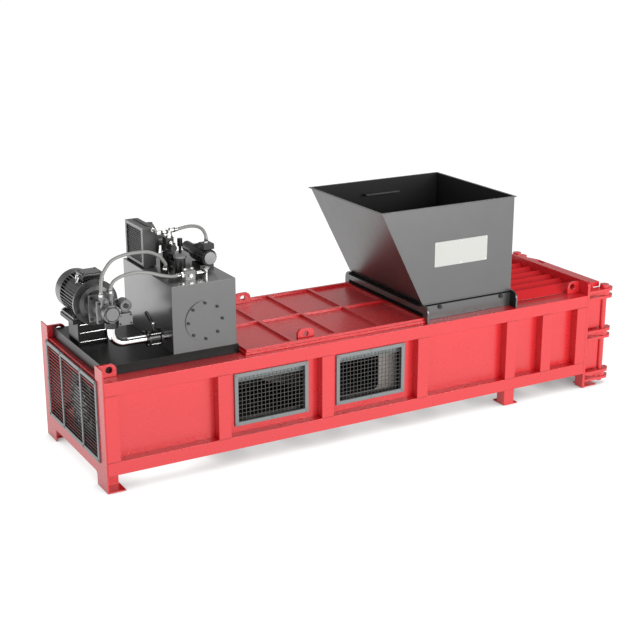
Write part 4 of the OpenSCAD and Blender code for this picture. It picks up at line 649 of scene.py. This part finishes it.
# Pump and suction line
# A piston pump bolted to the motor by a bell, fed from the tank through a chromed pipe and a lever valve
# with a black iron body.
VALVE_X, PIPE_Y, PIPE_Z = 502, -376, 1005
LEVER_TILT = radians(24)
LOBE = at(295, -396, 1277)
cast_grey = sprayed_enamel("cast_grey", "#7E7E7E", "#747474", 0.3, 0.0, 0.7)
cast_dark = sprayed_enamel("cast_dark", "#333333", "#2B2B2B", 0.22, 0.0, 0.6, 0.8)
finished("bell_housing", 0.0015, flange_iron, "frame")
finished("oil_pump", 0.002, cast_grey, "frame")
pipe = finished("suction_line", 0.0015, hard_chrome, "frame")
# The valve's body and the flange under the pump
paint_where(pipe, cast_dark, lambda x, y, z, n: 448 < x < 556 or z > 1128)
finished("valve_lever", 0.001, bolt_black, "lever")
# Grip sleeve on the valve's lever
lever_way = Vector((0, cos(LEVER_TILT), sin(LEVER_TILT)))
bm = bmesh.new()
turned(bm, [(0, 0.0), (0, 0.011), (0.004, 0.0135), (0.09, 0.0135), (0.098, 0.011), (0.1, 0.0)],
       at(VALVE_X, PIPE_Y, 1099) + lever_way * 0.045, lever_way, 20)
keep_piece("lever_grip", bm, bolt_black, "lever")
# Cap screws of the pump's plates, end and control block
bm = bmesh.new()
for dx in (-1, 1):
    for dz in (-1, 1):
        hex_head(bm, at(MOTOR_X + 80 * dx, -212, MOTOR_Z + 80 * dz), (0, -1, 0), 0.022, 0.012)
        hex_head(bm, at(MOTOR_X + 66 * dx, -328, MOTOR_Z + 66 * dz), (0, -1, 0), 0.018, 0.01)
        hex_head(bm, at(289 + 40 * dx, -396, 1179 + 30 * dz), (0, -1, 0), 0.013, 0.008)
for k in range(6):
    turn = k * pi / 3
    hex_head(bm, at(MOTOR_X + 58 * cos(turn), -406, MOTOR_Z + 58 * sin(turn)), (0, -1, 0), 0.009, 0.006)
hex_head(bm, LOBE, (0, -1, 0), 0.036, 0.014)
keep_piece("pump_screws", bm, cast_dark, "frame")
# Rim rings on the pump's cap and on the control lobe
bm = bmesh.new()
turned(bm, [(0, 0.047), (0, 0.053), (0.002, 0.0545), (0.007, 0.0545), (0.009, 0.053), (0.009, 0.047)],
       at(MOTOR_X, -407, MOTOR_Z), (0, -1, 0), 40)
turned(bm, [(0, 0.034), (0.0, 0.042), (0.003, 0.042), (0.005, 0.040), (0.005, 0.034)], LOBE, (0, -1, 0), 32)
keep_piece("pump_rims", bm, cast_grey, "frame")
# Bolts through the valve's flanges, and the nut on its stem
VALVE_RING = 53
bm = bmesh.new()
for k in range(4):
    turn = pi / 4 + k * pi / 2
    y, z = PIPE_Y + VALVE_RING * cos(turn), PIPE_Z + VALVE_RING * sin(turn)
    hex_head(bm, at(449, y, z), (-1, 0, 0), 0.018, 0.01)
    hex_head(bm, at(555, y, z), (1, 0, 0), 0.018, 0.01)
    turned(bm, [(0, 0.0), (0, 0.005), (0.078, 0.005), (0.078, 0.0)], at(463, y, z), (1, 0, 0), 10)
hex_head(bm, at(VALVE_X, PIPE_Y, 1107), (0, 0, 1), 0.024, 0.01)
keep_piece("valve_bolts", bm, zinc_plate, "frame")

# Tank lid fittings, small pump and cooler
# Filter, breather, valve stack and line fittings of cast iron and zinc-plated steel, screwed on the lid, a
# small motor pump that drives oil through the cooler, and the cooler itself: an aluminium core in a box of
# powder-coated sheet, with its fan.
STACK_X, STACK_Y, STACK_TOP_Y, LINE_Y, LINE_Z = 785, -33, -60, -366, 1430
rim_grey = powder_coat("rim_grey", "#8F8F8F", 0.35)
shroud_grey = powder_coat("shroud_grey", "#444444", 0.35)
fittings = finished("tank_fittings", 0.001, cast_dark, "frame")
# The line fitting is a cast block between bright ends, and the filter has a cast head
LINE_BACK, BLOCK_LEFT, BLOCK_RIGHT = -330, 756, 831
FILTER_X, FILTER_Y, FILTER_R, FILTER_HEAD = 803, -195, 52, 1514
paint_where(fittings, zinc_plate,
            lambda x, y, z, n: y < LINE_BACK and not BLOCK_LEFT <= x <= BLOCK_RIGHT or z > 1636)
paint_where(fittings, cast_grey,
            lambda x, y, z, n: z > FILTER_HEAD and (x - FILTER_X) ** 2 + (y - FILTER_Y) ** 2 < FILTER_R ** 2
            or BLOCK_LEFT <= x <= BLOCK_RIGHT and y < LINE_BACK)
finished("circulation_pump", 0.001, bolt_black, "frame")
# Pressed aluminium fins between the core's tubes, louvred, drawn as dark rows with light edges: painted shade
# between the fins and a painted highlight on their edges
shaded_core_fins, tree, shader = new_material("shaded_core_fins")
place = add_node(tree, "ShaderNodeTexCoord").outputs["Object"]
# The rows are slanted and a few millimetres apart; 24 mm here, so that they show
FIN_PITCH = 0.024
slanted = add_node(tree, "ShaderNodeMapping", {"Vector": place, "Rotation": (radians(52), 0, 0)})
rows = add_node(tree, "ShaderNodeTexWave",
                {"Vector": slanted.outputs["Vector"], "Scale": 2 * pi / 20 / FIN_PITCH},
                wave_type="BANDS", bands_direction="Z")
tone = add_node(tree, "ShaderNodeValToRGB", {"Fac": rows.outputs["Fac"]})
tone.color_ramp.elements[0].position, tone.color_ramp.elements[1].position = 0.35, 0.65
tone.color_ramp.elements[0].color = linear("#0C0C0C")
tone.color_ramp.elements[1].color = linear("#5E5E5E")
raised = add_node(tree, "ShaderNodeBump", {"Height": rows.outputs["Fac"], "Strength": 0.5, "Distance": 0.004})
tree.links.new(tone.outputs["Color"], shader.inputs["Base Color"])
tree.links.new(raised.outputs["Normal"], shader.inputs["Normal"])
shader.inputs["Roughness"].default_value = 0.45
shader.inputs["Metallic"].default_value = 0.4
core = finished("cooler_core", 0.0008, shaded_core_fins, "frame")
CORE_NEAR, CORE_FAR, CORE_LOW, CORE_TOP = 56, 390, 1409, 1697
paint_where(core, shroud_grey, lambda x, y, z, n: (
    y < CORE_NEAR + 1 or y > CORE_FAR - 1 or z > CORE_TOP - 1 or z < CORE_LOW + 1))
# Light folded rim round the core's open face, and a black strip along the top of the fan box
RIM_OUTER, RIM_INNER, RIM_NEAR, RIM_FAR = 618, 626, 80, 366
bm = bmesh.new()
for low_y, high_y, low_z, high_z in (
        (CORE_NEAR, RIM_NEAR, CORE_LOW, CORE_TOP), (RIM_FAR, CORE_FAR, CORE_LOW, CORE_TOP),
        (RIM_NEAR, RIM_FAR, CORE_LOW, 1431), (RIM_NEAR, RIM_FAR, 1677, CORE_TOP)):
    slab(bm, at(RIM_OUTER, low_y, low_z), at(RIM_INNER, high_y, high_z), 0.0012)
keep_piece("core_rim", bm, rim_grey, "frame")
bm = bmesh.new()
slab(bm, at(672, 90, 1696), at(700, 356, 1702), 0.0015)
keep_piece("shroud_strip", bm, bolt_black, "frame")
finished("cooler_shroud", 0.001, shroud_grey, "frame")
finished("cooler_fan", 0.0008, bolt_black, "fan")
# Pressed steel disc in the small motor's end cap
bm = bmesh.new()
turned(bm, [(0, 0.0), (0, 0.046), (0.003, 0.046), (0.005, 0.043), (0.005, 0.0)],
       at(1028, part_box("circulation_pump")[0][1] * 1000, 1485), (0, -1, 0), 36)
keep_piece("small_motor_disc", bm, rim_grey, "frame")
# Bright line fittings: collars and plugs on the valve stack, nuts on its coils, and the line to the cooler
STACK_HALF = 38
bm = bmesh.new()
hex_head(bm, at(STACK_X, STACK_TOP_Y, 1635), (0, 0, 1), 0.042, 0.016)
hex_head(bm, at(STACK_X, STACK_TOP_Y, 1667), (0, 0, 1), 0.036, 0.012)
for x, y, z, axis in (
        (STACK_X, STACK_Y - STACK_HALF, 1600, (0, -1, 0)),
        (STACK_X - STACK_HALF, STACK_Y, 1452, (-1, 0, 0)), (STACK_X - STACK_HALF, STACK_Y, 1530, (-1, 0, 0)),
        (STACK_X + STACK_HALF, STACK_Y, 1452, (1, 0, 0)), (STACK_X + STACK_HALF, STACK_Y, 1530, (1, 0, 0)),
        (STACK_X, STACK_Y - STACK_HALF, 1420, (0, -1, 0))):
    hex_head(bm, at(x, y, z), axis, 0.026, 0.012)
    turned(bm, [(0.012, 0.009), (0.018, 0.009), (0.02, 0.007), (0.02, 0.0)], at(x, y, z), axis, 16)
for x in (768, 818):
    hex_head(bm, at(x, LINE_Y, 1463), (0, 0, 1), 0.022, 0.014)
hex_head(bm, at(793, -398, LINE_Z), (0, -1, 0), 0.03, 0.014)
for x in (BLOCK_RIGHT, 905):
    hex_head(bm, at(x, LINE_Y, LINE_Z), (1, 0, 0), 0.042, 0.02)
turned(bm, [(0, 0.028), (0.006, 0.028), (0.008, 0.026), (0.008, 0.0)], at(927, LINE_Y, 1454), (0, 0, 1), 24)
# The line itself: two straight tubes with an elbow block between, from the stack's top to the fan box
slab(bm, at(685, -75, 1665), at(715, -45, 1695), 0.005, 3)
for foot, axis, length in (
        (at(700, -45, 1680), (0, 1, 0), 0.102), (at(715, STACK_TOP_Y, 1680), (1, 0, 0), 0.056)):
    turned(bm, [(0, 0.0), (0, 0.0105), (length, 0.0105), (length, 0.0)], foot, axis, 20)
    hex_head(bm, foot, axis, 0.03, 0.014)
    hex_head(bm, foot + Vector(axis) * (length - 0.014), axis, 0.03, 0.014)
keep_piece("line_fittings", bm, zinc_plate, "frame")
